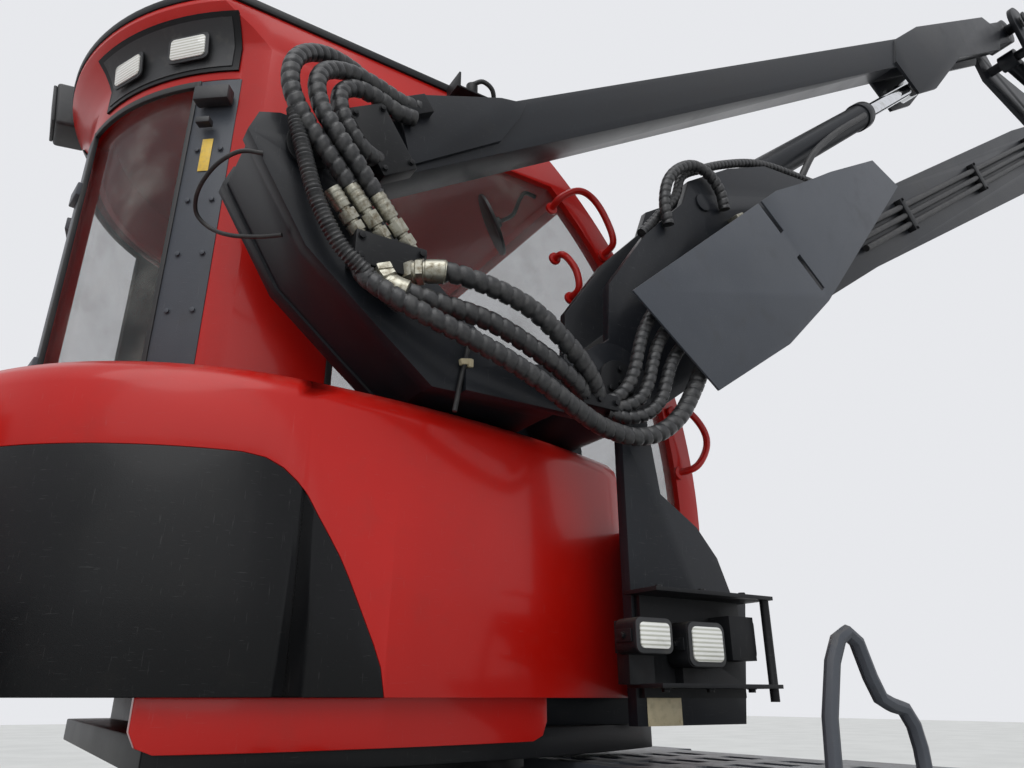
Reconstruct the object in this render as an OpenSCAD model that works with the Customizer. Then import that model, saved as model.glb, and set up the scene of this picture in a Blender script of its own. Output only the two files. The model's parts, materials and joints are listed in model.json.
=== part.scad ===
// Six-wheeled forestry harvester: a front frame on bogies, an articulated rear
// frame with the engine, and a turntable with the cab, the tail and the crane.
// Millimetres. X runs forward, Y to the left, Z up from the ground.
// Every piece is drawn about the slewing axis and moved to the frame at the end.

/* [Wheels] */
// Diameter of a front bogie tyre over its lugs
front_tyre_d = 1330; // [1200:10:1400]
// Width of a front bogie tyre
front_tyre_w = 700; // [500:10:720]
// Rim diameter of a front bogie wheel
front_rim_d = 680; // [600:10:720]
// Distance between the two wheels of a bogie
bogie_base = 1500; // [1440:10:1600]
// Diameter of a rear tyre over its lugs
rear_tyre_d = 1650; // [1500:10:1720]
// Width of a rear tyre
rear_tyre_w = 740; // [600:10:760]
// Rim diameter of a rear wheel
rear_rim_d = 880; // [800:10:920]
// Width of the machine over its tyres
machine_w = 2890; // [2800:10:3000]

/* [Undercarriage] */
// Front bogie centre ahead of the slewing axis
bogie_x = 350; // [300:10:400]
// Steering joint behind the slewing axis
steer_back = 1700; // [1650:10:1800]
// Rear axle behind the steering joint
rear_axle_back = 1950; // [1900:10:2100]
// Underside of the frames above the ground
belly_z = 700; // [660:10:740]
// Top of the slewing pedestal above the ground
pedestal_z = 1400; // [1390:5:1410]
// Radius of the slewing ring
ring_r = 560; // [500:10:600]
// Top of the walking decks above the ground
deck_z = 1440; // [1430:5:1445]
// Top of the rear decks above the ground
rear_deck_z = 1760; // [1740:10:1800]

/* [Engine hood] */
// Gap between the hood and each rear tyre, seen from the rear
hood_gap = 55; // [45:5:80]
// Height of the hood's top at its front
hood_front_z = 2560; // [2450:10:2620]
// Height of the hood's top at its rear
hood_rear_z = 2300; // [2200:10:2400]
// Sheet thickness of the hood
hood_t = 30; // [20:1:40]

/* [Cab] */
// Width of the cab
cab_w = 1500; // [1450:10:1540]
// Cab centreline to the left of the slewing axis
cab_y = 200; // [180:5:220]
// Underside of the cab floor
cab_z = 1620; // [1600:5:1640]
// Underside of the roof
roof_z = 3700; // [3650:10:3750]
// Radius of the rounded rear wall
cab_rear_r = 850; // [820:5:870]
// Radius of the curved windscreen, seen from the side
screen_r = 1800; // [1750:10:1850]
// Thickness of the cab walls and door
cab_t = 60; // [50:1:70]
// Thickness of the window panes
pane_t = 12; // [8:1:14]
// How far the roof reaches past the rear wall
visor = 95; // [85:5:110]

/* [Tail] */
// Underside of the tail cover
tail_z = 1600; // [1590:5:1610]
// Top of the tail cover
tail_top_z = 2300; // [2250:10:2320]
// Side of the tail cover outside the crane's plane
tail_out = 110; // [100:5:120]
// Corner radius of the tail cover, seen from above
tail_r = 800; // [780:5:820]
// Wall of the tail cover
tail_t = 30; // [20:1:40]

/* [Crane] */
// Crane's plane outside the cab's wall
crane_out = 300; // [290:5:320]
// Angle of the main boom and the upper link above level
crane_a = 33.4; // [30:0.1:35]
// Length of the main boom and of the upper link between pins
boom_l = 5920; // [5800:10:6000]
// Width of the main boom
boom_w = 260; // [240:5:264]
// Width of the upper link
link_w = 150; // [120:5:160]
// Depth of the upper link
link_h = 165; // [150:5:180]
// Angle of the outer boom, below level
stick_a = -50; // [-60:1:-45]
// Length of the outer boom from its pin to its mouth
stick_l = 2900; // [2700:10:3000]
// Side of the outer boom's square section
stick_h = 260; // [240:5:262]
// Radius of a crane pin
pin_r = 40; // [35:1:45]

/* [Harvester head] */
// Length of the head's spine
head_l = 1450; // [1300:10:1500]
// Radius of a feed roller over its spikes
roller_r = 210; // [190:5:220]

/* [Hidden] */
$fn = 48;

RED = [0.72, 0.04, 0.04];
BLACK = [0.05, 0.05, 0.06];
GREY = [0.2, 0.2, 0.22];
STEEL = [0.75, 0.76, 0.78];
DARK = [0.1, 0.1, 0.11];

// The frame's origin lies on the ground under the middle of the parked machine.
centre_x = 1332;
// Gap between moving faces, and between a shaft and its seat
gap = 5;
seat = 0.3;

steer_x = -steer_back;
rear_axle_x = steer_x - rear_axle_back;
front_tyre_y = (machine_w - front_tyre_w) / 2;
rear_tyre_y = (machine_w - rear_tyre_w) / 2;
front_wheel_z = front_tyre_d / 2;
rear_wheel_z = rear_tyre_d / 2;
hood_w = machine_w - 2 * rear_tyre_w - 2 * hood_gap;

// Crane pins in the crane's own plane: [x, z]
crane_y = cab_y - cab_w / 2 - crane_out;
tail_half_w = tail_out - crane_y;
pillar_pin = [-640, 2868];
boom_pin = [300, 2430];
function turned(a, p) = [cos(a) * p[0] - sin(a) * p[1], sin(a) * p[0] + cos(a) * p[1]];
link_pin = pillar_pin + turned(crane_a, [boom_l, 0]);
tip_pin = boom_pin + turned(crane_a, [boom_l, 0]);
stick_pin = tip_pin + [300, -150];
stick_lever = 300;
stick_lever_pin = stick_pin + turned(stick_a + 125, [stick_lever, 0]);
stick_barrel_pin = stick_pin + [-1140, 420];
lift_barrel_pin = boom_pin + turned(crane_a, [868, 426]);
lift_rod_pin = pillar_pin + turned(crane_a, [3965, -201]);
head_pin = stick_pin + turned(stick_a, [stick_l + 330, 0]);

// The pillar's two plates stand either side of the boom
ear_gap = 280;
ear_plate = 34;
pillar_out = ear_gap / 2 + ear_plate;
eye_pin_r = pin_r - 5;

// Puts children in the crane plane at a pin, with their X axis at an angle above level.
module in_crane(pin, angle = 0) {
  translate([pin[0], crane_y, pin[1]]) rotate([0, -angle, 0]) children();
}

// A side outline in X and Z, given width across Y about the middle.
module across(w) {
  rotate([90, 0, 0]) translate([0, 0, -w / 2]) linear_extrude(w) children();
}

// A round bar along Y about the middle.
module cross_bar(r, w) {
  rotate([90, 0, 0]) translate([0, 0, -w / 2]) cylinder(r = r, h = w);
}

module both_sides() {
  children();
  mirror([0, 1, 0]) children();
}

// Tyres and rims

module tyre(d, w, rim_d) {
  r = d / 2;
  wall = rim_d / 2;
  round_r = w * 0.16;
  color(DARK) rotate([90, 0, 0]) rotate_extrude() difference() {
    union() {
      translate([wall, -w * 0.46]) square([r - wall - round_r, w * 0.92]);
      translate([wall, -w / 2 + round_r]) square([r - wall, w - 2 * round_r]);
      for (side = [-1, 1]) translate([r - round_r, side * (w / 2 - round_r)]) circle(round_r);
    }
    translate([wall - 1, -w * 0.3]) square([(r - wall) * 0.3, w * 0.6]);
  }
}

// The rim's well carries the tyre's beads; the disc faces outwards, which is towards +Y.
module rim(d, w, hub_r) {
  r = d / 2 - seat;
  color(RED) rotate([-90, 0, 0]) union() {
    rotate_extrude() {
      translate([r - 30, -w * 0.46]) square([30, w * 0.92]);
      translate([0, w * 0.05]) square([r - 20, 26]);
      polygon([[0, w * 0.05], [hub_r + 60, w * 0.05], [hub_r, w * 0.05 - 60],
               [hub_r, -w * 0.36], [0, -w * 0.36]]);
      translate([0, w * 0.05]) square([hub_r * 0.75, 90]);
    }
    for (i = [0 : 11]) rotate(i * 30) translate([hub_r * 0.9, 0, w * 0.05 + 25])
      cylinder(r = 14, h = 30, $fn = 6);
  }
}

// side is 1 on the left and -1 on the right
module front_wheel_place(side, end) {
  translate([bogie_x + end * bogie_base / 2, side * front_tyre_y, front_wheel_z])
    scale_side(side) children();
}

module rear_wheel_place(side) {
  translate([rear_axle_x, side * rear_tyre_y, rear_wheel_z]) scale_side(side) children();
}

module scale_side(side) {
  if (side > 0) children();
  else mirror([0, 1, 0]) children();
}

front_hub_r = 150;
rear_hub_r = 190;
hub_inset = 0.36;
module front_rim() { rim(front_rim_d, front_tyre_w, front_hub_r); }
module rear_rim() { rim(rear_rim_d, rear_tyre_w, rear_hub_r); }

// Undercarriage

frame_half = 380;
frame_top = 1180;
eye_r = 170;
steer_pin_r = 70;
ear_t = 70;
ear_top_z = 1130;
ear_low_z = 760;
ear_half = 235;

module front_frame() {
  color(BLACK) difference() {
    union() {
      // Main box, tapered in plan towards the steering joint
      translate([0, 0, belly_z]) linear_extrude(frame_top - belly_z)
        polygon([[steer_x + 420, -ear_half], [-650, -frame_half], [1500, -frame_half], [2050, -300],
                 [2050, 300], [1500, frame_half], [-650, frame_half], [steer_x + 420, ear_half]]);
      // Pedestal under the slewing ring
      translate([0, 0, frame_top]) cylinder(r1 = ring_r + 40, r2 = ring_r - 20,
          h = pedestal_z - frame_top - 60);
      translate([0, 0, pedestal_z - 60]) cylinder(r = ring_r, h = 60 - 0.5);
      // Ears of the steering joint
      for (z = [ear_low_z, ear_top_z]) translate([0, 0, z - ear_t / 2]) {
        translate([steer_x, 0, 0]) cylinder(r = eye_r, h = ear_t);
        linear_extrude(ear_t) polygon([[steer_x, -eye_r], [steer_x + 430, -ear_half],
                                       [steer_x + 430, ear_half], [steer_x, eye_r]]);
      }
      // Nose plate and tow eye
      across_nose();
    }
    for (z = [ear_low_z, ear_top_z]) translate([steer_x, 0, z - ear_t]) cylinder(r = steer_pin_r,
        h = 2 * ear_t);
    tow_bore(tow_front_x);
    // Saddle of the axle tube
    translate([bogie_x, 0, front_wheel_z]) cross_bar(axle_r + seat, 4 * frame_half);
  }
}
axle_r = 165;

tow_front_x = 2130;
tow_z = 900;
tow_r = 35;
tow_t = 60;
module across_nose() {
  translate([2010, -420, belly_z - 20]) cube([60, 840, 520]);
  translate([2050, -tow_t / 2, tow_z - 80]) cube([80, tow_t, 160]);
  translate([tow_front_x, 0, tow_z]) cross_bar(80, tow_t);
}
module tow_bore(x) {
  translate([x, 0, tow_z]) cross_bar(tow_r, tow_t + 2);
}

// One axle tube across, and on each side the bogie case that carries two wheels
case_w = 160;
case_in_y = front_tyre_y - front_tyre_w / 2 - 25 - case_w;
module front_axle() {
  hub_face = front_tyre_y - front_tyre_w * hub_inset - seat;
  color(BLACK) {
    translate([bogie_x, 0, front_wheel_z]) cross_bar(axle_r, 2 * case_in_y + 20);
    translate([bogie_x - 220, -300, front_wheel_z - 60]) cube([440, 600,
        belly_z - front_wheel_z + 60 - seat]);
    both_sides() translate([bogie_x, 0, front_wheel_z]) {
      translate([0, case_in_y + case_w / 2, 0]) across(case_w) union() {
        polygon([[-bogie_base / 2, -150], [0, -190], [bogie_base / 2, -150],
                 [bogie_base / 2, 150], [220, 260], [-220, 260], [-bogie_base / 2, 150]]);
        for (end = [-1, 1]) translate([end * bogie_base / 2, 0]) circle(150);
      }
      for (end = [-1, 1]) translate([end * bogie_base / 2, case_in_y + case_w / 2, 0])
        rotate([-90, 0, 0]) cylinder(r = 110, h = hub_face - case_in_y - case_w / 2);
    }
  }
}

// Walking decks beside the pedestal, with rows of grip slots and a guard hoop. Ahead of them
// a lower mudguard covers the front wheels and slopes down at its end.
deck_t = 40;
deck_in_y = 430;
deck_out_y = machine_w / 2 - 10;
deck_rear_x = 320;
deck_front_x = 950;
guard_z = front_tyre_d + 42;
guard_t = 20;
guard_front_x = 1900;
module front_decks() {
  wide = deck_out_y - deck_in_y;
  color(BLACK) {
    both_sides() difference() {
      union() {
        translate([deck_rear_x, deck_in_y, deck_z - deck_t]) cube([deck_front_x - deck_rear_x, wide, deck_t]);
        translate([0, deck_in_y + wide / 2, 0]) across(wide)
          polygon([[deck_front_x - 12, deck_z - 12], [deck_front_x + 40, guard_z], [guard_front_x - 10,
              guard_z],
                   [guard_front_x + 130, guard_z - 290], [guard_front_x + 105, guard_z - 290],
                   [guard_front_x - 25, guard_z - guard_t], [deck_front_x - 12, guard_z - guard_t]]);
        // Stay down to the frame
        translate([deck_rear_x + 330, frame_half, frame_top - 60])
          cube([250, deck_in_y - frame_half + 40, deck_z - frame_top + 50]);
      }
      translate([0, 0, pedestal_z - 100]) cylinder(r = ring_r + 30, h = 200);
      for (i = [0 : 4], j = [0 : 3])
        translate([deck_rear_x + 60 + i * 105, deck_in_y + 150 + j * 220, deck_z - deck_t - 1])
          cube([50, 130, deck_t + 2]);
    }
    hose(hoop, hoop_r);
  }
}
hoop_r = 18;
hoop_y = hoop_r - deck_out_y;
hoop_side = [[505, -20], [520, 120], [556, 235], [588, 285], [622, 302], [656, 282], [686, 205], [712,
    160], [748, 146],
             [796, 136], [824, 100], [836, 50], [838, -20]];
hoop = [for (p = hoop_side) [p[0], hoop_y, deck_z + p[1]]];

// Steering cylinders beside the joint
steer_cyl_z = 945;
steer_front_x = steer_x + 800;
steer_front_y = 450;
steer_rear_y = 300;
steer_barrel_r = 55;
steer_rod_r = 28;
steer_gland = 570;
steer_l = norm([steer_front_x - steer_x, steer_rear_y - steer_front_y]);
steer_a = atan2(steer_rear_y - steer_front_y, steer_x - steer_front_x);
// Two plates and a pin on each side of the front frame's tapered box
module steer_seats() {
  reach = 60;
  function frame_side(x) = ear_half + (x - steer_x - 420) * (frame_half - ear_half)
      / (-650 - steer_x - 420) + seat + 0.1;
  color(BLACK) both_sides() {
    for (z = [-85, 60]) translate([0, 0, steer_cyl_z + z]) linear_extrude(25)
      polygon([[steer_front_x - reach, frame_side(steer_front_x - reach)],
               [steer_front_x + reach, frame_side(steer_front_x + reach)],
               [steer_front_x + reach, steer_front_y + reach], [steer_front_x - reach,
                   steer_front_y + reach]]);
    translate([steer_front_x, steer_front_y, steer_cyl_z - 75]) cylinder(r = 25 - seat, h = 150);
  }
}
// Plates above and below each rod's eye, against the side of the rear frame's knuckle
module steer_brackets() {
  function knuckle_side(back) = eye_r - 10 + back * (310 - eye_r) / 600 + seat + 0.1;
  color(BLACK) both_sides() for (z = [-80, 50]) translate([steer_x, 0, steer_cyl_z + z]) linear_extrude(30)
    polygon([[50, 240], [50, 355], [-60, 355], [-480, 290], [-480, knuckle_side(480)], [-150,
        knuckle_side(150)]]);
}
module steer_barrel() {
  color(BLACK) translate([steer_front_x, steer_front_y, steer_cyl_z]) rotate(steer_a) difference() {
    union() {
      cylinder(r = 55, h = 80, center = true);
      translate([45, 0, 0]) rotate([0, 90, 0]) cylinder(r = steer_barrel_r, h = steer_gland - 45);
    }
    cylinder(r = 25, h = 100, center = true);
    translate([100, 0, 0]) rotate([0, 90, 0]) cylinder(r = steer_rod_r + seat, h = steer_gland);
  }
}
module steer_rod() {
  color(STEEL) translate([steer_front_x, steer_front_y, steer_cyl_z]) rotate(steer_a) difference() {
    union() {
      translate([300, 0, 0]) rotate([0, 90, 0]) cylinder(r = steer_rod_r, h = steer_l - 340);
      translate([steer_l, 0, 0]) cylinder(r = 50, h = 70, center = true);
    }
    translate([steer_l, 0, 0]) cylinder(r = 25, h = 100, center = true);
  }
}

// Rear frame with the joint's knuckle, its pin and the cylinder brackets
rear_end_x = -5240;
tow_rear_x = rear_end_x - 50;
bed_half = hood_w / 2 - 90;
module rear_frame() {
  knuckle_top = ear_top_z - ear_t / 2 - 1;
  knuckle_low = ear_low_z + ear_t / 2 + 1;
  color(BLACK) difference() {
    union() {
      translate([steer_x, 0, ear_low_z - ear_t]) cylinder(r = steer_pin_r - seat,
          h = ear_top_z - ear_low_z + 2 * ear_t);
      translate([steer_x, 0, knuckle_low]) cylinder(r = eye_r - 10, h = knuckle_top - knuckle_low);
      translate([0, 0, knuckle_low]) linear_extrude(knuckle_top - knuckle_low)
        polygon([[steer_x, -eye_r + 10], [steer_x - 600, -300], [steer_x - 600, 300], [steer_x, eye_r - 10]]);
      translate([0, 0, belly_z + 60]) linear_extrude(frame_top - belly_z - 60)
        polygon([[steer_x - 590, -320], [-3000, -frame_half], [rear_end_x, -frame_half],
                 [rear_end_x, frame_half], [-3000, frame_half], [steer_x - 590, 320]]);
      // Engine bed
      translate([-5000, -bed_half, frame_top - 40]) cube([2250, 2 * bed_half, 60]);
      hood_ears();
      // Bumper
      translate([rear_end_x - 40, -700, 820]) cube([60, 1400, 330]);
      translate([tow_rear_x - 40, -tow_t / 2, tow_z - 80]) cube([100, tow_t, 160]);
      translate([tow_rear_x - 40, 0, tow_z]) cross_bar(80, tow_t);
    }
    tow_bore(tow_rear_x - 40);
    // Saddle of the axle
    translate([rear_axle_x, 0, rear_wheel_z]) {
      cross_bar(rear_axle_r + seat, 4 * frame_half);
      cross_bar(diff_r + seat, diff_w + 2 * seat);
    }
  }
}
rear_axle_r = 140;
diff_r = 240;
diff_w = 440;

module rear_axle() {
  hub_face = rear_tyre_y - rear_tyre_w * hub_inset - seat;
  color(BLACK) translate([rear_axle_x, 0, rear_wheel_z]) {
    cross_bar(rear_axle_r, 2 * hub_face);
    cross_bar(diff_r, diff_w);
  }
}

// Decks over the rear wheels, outside the hood
module rear_decks() {
  color(BLACK) both_sides() difference() {
    union() {
      translate([rear_axle_x - 950, hood_w / 2 + 30, rear_deck_z - deck_t])
        cube([1900, deck_out_y - hood_w / 2 - 30, deck_t]);
      for (end = [-1, 1]) translate([rear_axle_x, (hood_w / 2 + 30 + deck_out_y) / 2, 0])
        across(deck_out_y - hood_w / 2 - 30) mirror([end < 0 ? 1 : 0, 0, 0])
          polygon([[940, rear_deck_z], [1060, rear_deck_z - 300], [1030, rear_deck_z - 300],
                   [910, rear_deck_z - deck_t]]);
      // Brackets down to the engine bed
      for (x = [-870, 830]) translate([rear_axle_x + x, 0, 0]) rotate([90, 0, 90]) linear_extrude(40)
        polygon([[bed_half, frame_top - 20], [hood_w / 2 + 90, frame_top - 20], [hood_w / 2 + 90,
            rear_deck_z - deck_t + 1],
                 [hood_w / 2 + 30, rear_deck_z - deck_t + 1], [hood_w / 2 + 20, hood_low_z - 60],
                     [bed_half, frame_top + 20]]);
    }
    for (i = [0 : 15], j = [0 : 2])
      translate([rear_axle_x - 830 + i * 106, hood_w / 2 + 120 + j * 220, rear_deck_z - deck_t - 1])
        cube([50, 130, deck_t + 2]);
  }
}

module engine() {
  color(GREY) translate([-4300, -330, frame_top + 20 + seat]) cube([1150, 660, 850]);
}

// Engine hood, hinged at its lower rear edge
hood_front_x = -2560;
hood_rear_x = -5120;
hood_low_z = 1330;
module hood_side() {
  polygon([[hood_front_x, hood_low_z], [hood_front_x, hood_front_z - 90], [hood_front_x - 90, hood_front_z],
           [-4000, hood_front_z - 60], [hood_rear_x + 180, hood_rear_z], [hood_rear_x, hood_rear_z - 260],
           [hood_rear_x, hood_low_z]]);
}
module hood_window(x0, x1, z0, z1) {
  translate([x0, -hood_w, z0]) cube([x1 - x0, 2 * hood_w, z1 - z0]);
}
grille_x = [-4900, -3950];
grille_z = [1560, 2060];
module engine_hood() {
  color(RED) difference() {
    across(hood_w) hood_side();
    // Hollow below, one sheet thick all round
    across(hood_w - 2 * hood_t) difference() {
      translate([0, -hood_t]) hood_side();
      translate([hood_front_x - hood_t, 0]) square([2 * hood_t, 3000]);
      translate([hood_rear_x - hood_t, 0]) square([2 * hood_t, 3000]);
    }
    hood_window(grille_x[0], grille_x[1], grille_z[0], grille_z[1]);
  }
  color(RED) hood_lugs();
}
// Hinge under the hood's rear edge: lugs on the hood between ears on the frame
hood_pin = [-5160, 1280];
hood_lug_y = 300;
hood_lug_t = 40;
hood_pin_r = 16;
module hood_lugs() {
  for (side = [-1, 1]) translate([0, side * hood_lug_y, 0]) across(hood_lug_t) difference() {
    union() {
      translate(hood_pin) circle(34);
      polygon([hood_pin + [-34, 0], [hood_rear_x, 1450], [hood_rear_x + 20, 1450], [hood_rear_x + 20,
          hood_low_z + 1],
               hood_pin + [24, -24]]);
    }
    translate(hood_pin) circle(hood_pin_r + seat);
  }
}
module hood_ears() {
  for (side = [-1, 1]) translate([0, side * hood_lug_y, 0]) {
    for (face = [-1, 1]) translate([0, face * (hood_lug_t / 2 + seat + 8), 0]) across(16) {
      polygon([[hood_pin[0] - 50, frame_top - 1], [hood_pin[0] + 60, frame_top - 1], hood_pin + [30, 0],
          hood_pin + [-30, 0]]);
      translate(hood_pin) circle(30);
    }
    translate([hood_pin[0], 0, hood_pin[1]]) cross_bar(hood_pin_r, hood_lug_t + 40);
  }
}
module hood_grille() {
  color(BLACK) both_sides() translate([grille_x[0] + seat, hood_w / 2 - hood_t, grille_z[0] + seat]) {
    w = grille_x[1] - grille_x[0] - 2 * seat;
    h = grille_z[1] - grille_z[0] - 2 * seat;
    difference() {
      cube([w, hood_t - 4, h]);
      for (i = [0 : 8]) translate([30, -1, 30 + i * (h - 40) / 9]) cube([w - 60, hood_t, (h - 40) / 9 - 18]);
    }
  }
}

// Outline of the tail from above, set in from the cover's outer face: two round rear corners
// and two shallow side arcs that close towards the front
tail_corner_x = -550;
tail_corner_y = tail_half_w - tail_r;
tail_side_r = 3000;
tail_front_x = 500;
module tail_plan(inset, x0, x1) {
  intersection() {
    union() {
      intersection() {
        both_sides() translate([tail_corner_x, tail_half_w - tail_side_r]) circle(tail_side_r - inset,
            $fn = 360);
        translate([tail_corner_x, tail_half_w - tail_side_r]) circle(tail_side_r - inset, $fn = 360);
        translate([tail_corner_x, tail_side_r - tail_half_w]) circle(tail_side_r - inset, $fn = 360);
        square_between(tail_corner_x, -2000, 2000, 2000);
      }
      for (side = [-1, 1]) translate([tail_corner_x, side * tail_corner_y]) circle(tail_r - inset, $fn = 180);
      square_between(tail_corner_x - tail_r + inset, -tail_corner_y, tail_corner_x + 10, tail_corner_y);
    }
    square_between(x0, -2000, x1, 2000);
  }
}

// Turntable: slewing ring, platform plate and the box that carries the cab's floor
platform_z = 1460;
platform_t = 70;
valance_in = 60;
module turntable() {
  color(BLACK) {
    translate([0, 0, pedestal_z]) cylinder(r = ring_r - 20, h = platform_z - pedestal_z);
    translate([0, 0, platform_z]) linear_extrude(platform_t) tail_plan(valance_in + seat, -780, 720);
    translate([-650, cab_y - 560, platform_z + platform_t]) cube([1370, 1120,
        cab_z - platform_z - platform_t - seat]);
  }
}

// Tail cover: one wall section swept round the platform
tail_lip = 160;
module tail_section(t) {
  h = tail_top_z - tail_z;
  edge = 70;
  function arc(r) = [for (i = [0 : 3]) [-edge + r * cos(i * 30), h - edge + r * sin(i * 30)]];
  polygon(concat([[-t, 0], [0, 0]], arc(edge), [[-tail_lip, h], [-tail_lip, h - t]],
                 [for (i = [3 : -1 : 0]) arc(edge - t)[i]]));
}
// Sweeps a section, drawn inwards from the cover's outer face, along half of the tail's outline.
module tail_round() {
  // Rear corner
  translate([tail_corner_x, tail_corner_y, tail_z]) rotate(90) rotate_extrude(angle = 90, $fn = 180)
    translate([tail_r, 0]) children();
  // Half of the straight rear
  translate([tail_corner_x - tail_r, 0, tail_z]) rotate([90, 0, 180]) linear_extrude(tail_corner_y)
      children();
  // Side
  span = asin((tail_front_x - tail_corner_x) / tail_side_r);
  translate([tail_corner_x, tail_half_w - tail_side_r, tail_z]) rotate(90 - span)
    rotate_extrude(angle = span, $fn = 360) translate([tail_side_r, 0]) children();
}
// The black insert wraps round the rear and ends in an arch on each side.
module insert_outline(margin = 0) {
  arch = [[-330, 0], [-342, 60], [-364, 110], [-392, 165], [-430, 240], [-455, 285], [-482, 325], [-512, 368],
          [-540, 410], [-566, 438], [-600, 465], [-640, 483], [-690, 490]];
  translate([0, tail_z]) polygon(concat([[-3000, -100], [-330 - margin, -100]],
    [for (p = arch) p - [margin, margin]], [[-3000, 490 - margin]]));
}
module insert_cutter(margin = 0) {
  across(4000) insert_outline(margin);
}
module tail_cover() {
  color(RED) {
    difference() {
      both_sides() tail_round() tail_section(tail_t);
      insert_cutter();
      cab_space();
      translate([foot_x[0] - tail_gap, crane_y + ear_gap / 2 - tail_gap, tail_top_z - 200])
        cube([foot_x[1] - foot_x[0] + 300, 400, 400]);
    }
    // Lid
    translate([0, 0, tail_top_z - tail_t]) linear_extrude(tail_t - 5) difference() {
      tail_plan(tail_lip - 20, -3000, tail_corner_x);
      cab_plan(-tail_gap);
      translate([pillar_pin[0] - 200, crane_y - 250]) square([1000, 400]);
    }
    // Valance between the cover and the platform, set in from the cover's face
    difference() {
      intersection() {
        union() {
          both_sides() tail_round() polygon([[-valance_in, -100], [-34, -100], [-34, 60], [-valance_in, 60]]);
          // Let into the cover's wall ahead of the insert
          intersection() {
            both_sides() tail_round() polygon([[-45, 12], [-15, 20], [-15, 50], [-45, 60]]);
            across(4000) square_between(-300, 1500, 160, 1700);
          }
        }
        across(4000) polygon([[-810, 1700], [-810, 1540], [-796, 1512], [-765, 1500], [120, 1500], [154,
            1512],
          [170, 1545], [170, 1700]]);
      }
      cab_space();
    }
  }
}
// The cab stands in the tail cover with a gap all round
tail_gap = 12;
module cab_space() {
  translate([0, 0, cab_z - 300]) linear_extrude(3000) cab_plan(-tail_gap);
}
module square_between(x0, y0, x1, y1) {
  translate([x0, y0]) square([x1 - x0, y1 - y0]);
}
module tail_panels() {
  color(BLACK) difference() {
    intersection() {
      both_sides() tail_round() tail_section(tail_t);
      insert_cutter(seat);
    }
    cab_space();
  }
}

// Shelf with work lamps on the housing's outer face
shelf_y = crane_y - pillar_out;
shelf_x = [285, 705];
lamps = [[290, 1740, 120, 85], [465, 1725, 130, 110]];
module lamp_shelf() {
  color(BLACK) {
    for (z = [1622, 1845]) translate([shelf_x[0], shelf_y - 125, z]) cube([shelf_x[1] - shelf_x[0], 125, 10]);
    translate([320, shelf_y - 20, 1600]) cube([360, 20, 250]);
    for (p = lamps) {
      translate([p[0] - 40, shelf_y - 50, 1630]) cube([80, 45, p[1] - 1640]);
      translate([p[0], shelf_y - 62, p[1]]) across(70) soft_square(p[2], p[3], 22);
    }
    // Lamp that faces forward
    translate([560, shelf_y - 95, 1690]) cube([90, 90, 110]);
    translate([shelf_x[1] - 14, shelf_y - 105, 1590]) cylinder(r = 12, h = 260);
  }
}
module soft_square(w, h, r) {
  square([w - 2 * r, h], center = true);
  square([w, h - 2 * r], center = true);
  for (x = [-1, 1], z = [-1, 1]) translate([x * (w / 2 - r), z * (h / 2 - r)]) circle(r);
}

// Cab

cab_rear_x = -680;
cab_rear_cx = -281;
screen_c = [-730, 2200];
roof_front_x = 330;
module cab_plan(inset) {
  translate([cab_rear_x, cab_y - cab_w / 2 + inset]) square([2200, cab_w - 2 * inset]);
  intersection() {
    translate([cab_rear_cx, cab_y]) circle(cab_rear_r - inset, $fn = 360);
    translate([-3000, cab_y - cab_w / 2 + inset]) square([3000 + cab_rear_x + 5, cab_w - 2 * inset]);
  }
}
module cab_body(inset, low, high) {
  intersection() {
    translate([0, 0, low]) linear_extrude(high - low) cab_plan(inset);
    translate([screen_c[0], cab_y, screen_c[1]]) cross_bar_fine(screen_r - inset, cab_w + 100);
  }
}
module cross_bar_fine(r, w) {
  rotate([90, 0, 0]) translate([0, 0, -w / 2]) cylinder(r = r, h = w, $fn = 720);
}

// Openings, each a block that ends at a distance inside the windscreen's curve
window_z = [1980, 3460];
window_rear_x = -380;
door_rear_x = -360;
door_z = [1800, 3520];
pillar_w = 90;
module front_limit(inset) {
  translate([screen_c[0], cab_y, screen_c[1]]) cross_bar_fine(screen_r - inset, 4000);
}
module side_hole(side, x, z, inset, wall = 200) {
  intersection() {
    translate([x, cab_y + side * cab_w / 2 - wall / 2, z[0]]) cube([2500, wall, z[1] - z[0]]);
    front_limit(inset);
  }
}
module screen_hole(inset) {
  difference() {
    translate([200, cab_y - cab_w / 2 + inset, 1850]) cube([1500, cab_w - 2 * inset, 1610]);
    front_limit(cab_t + 200);
  }
}
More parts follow.
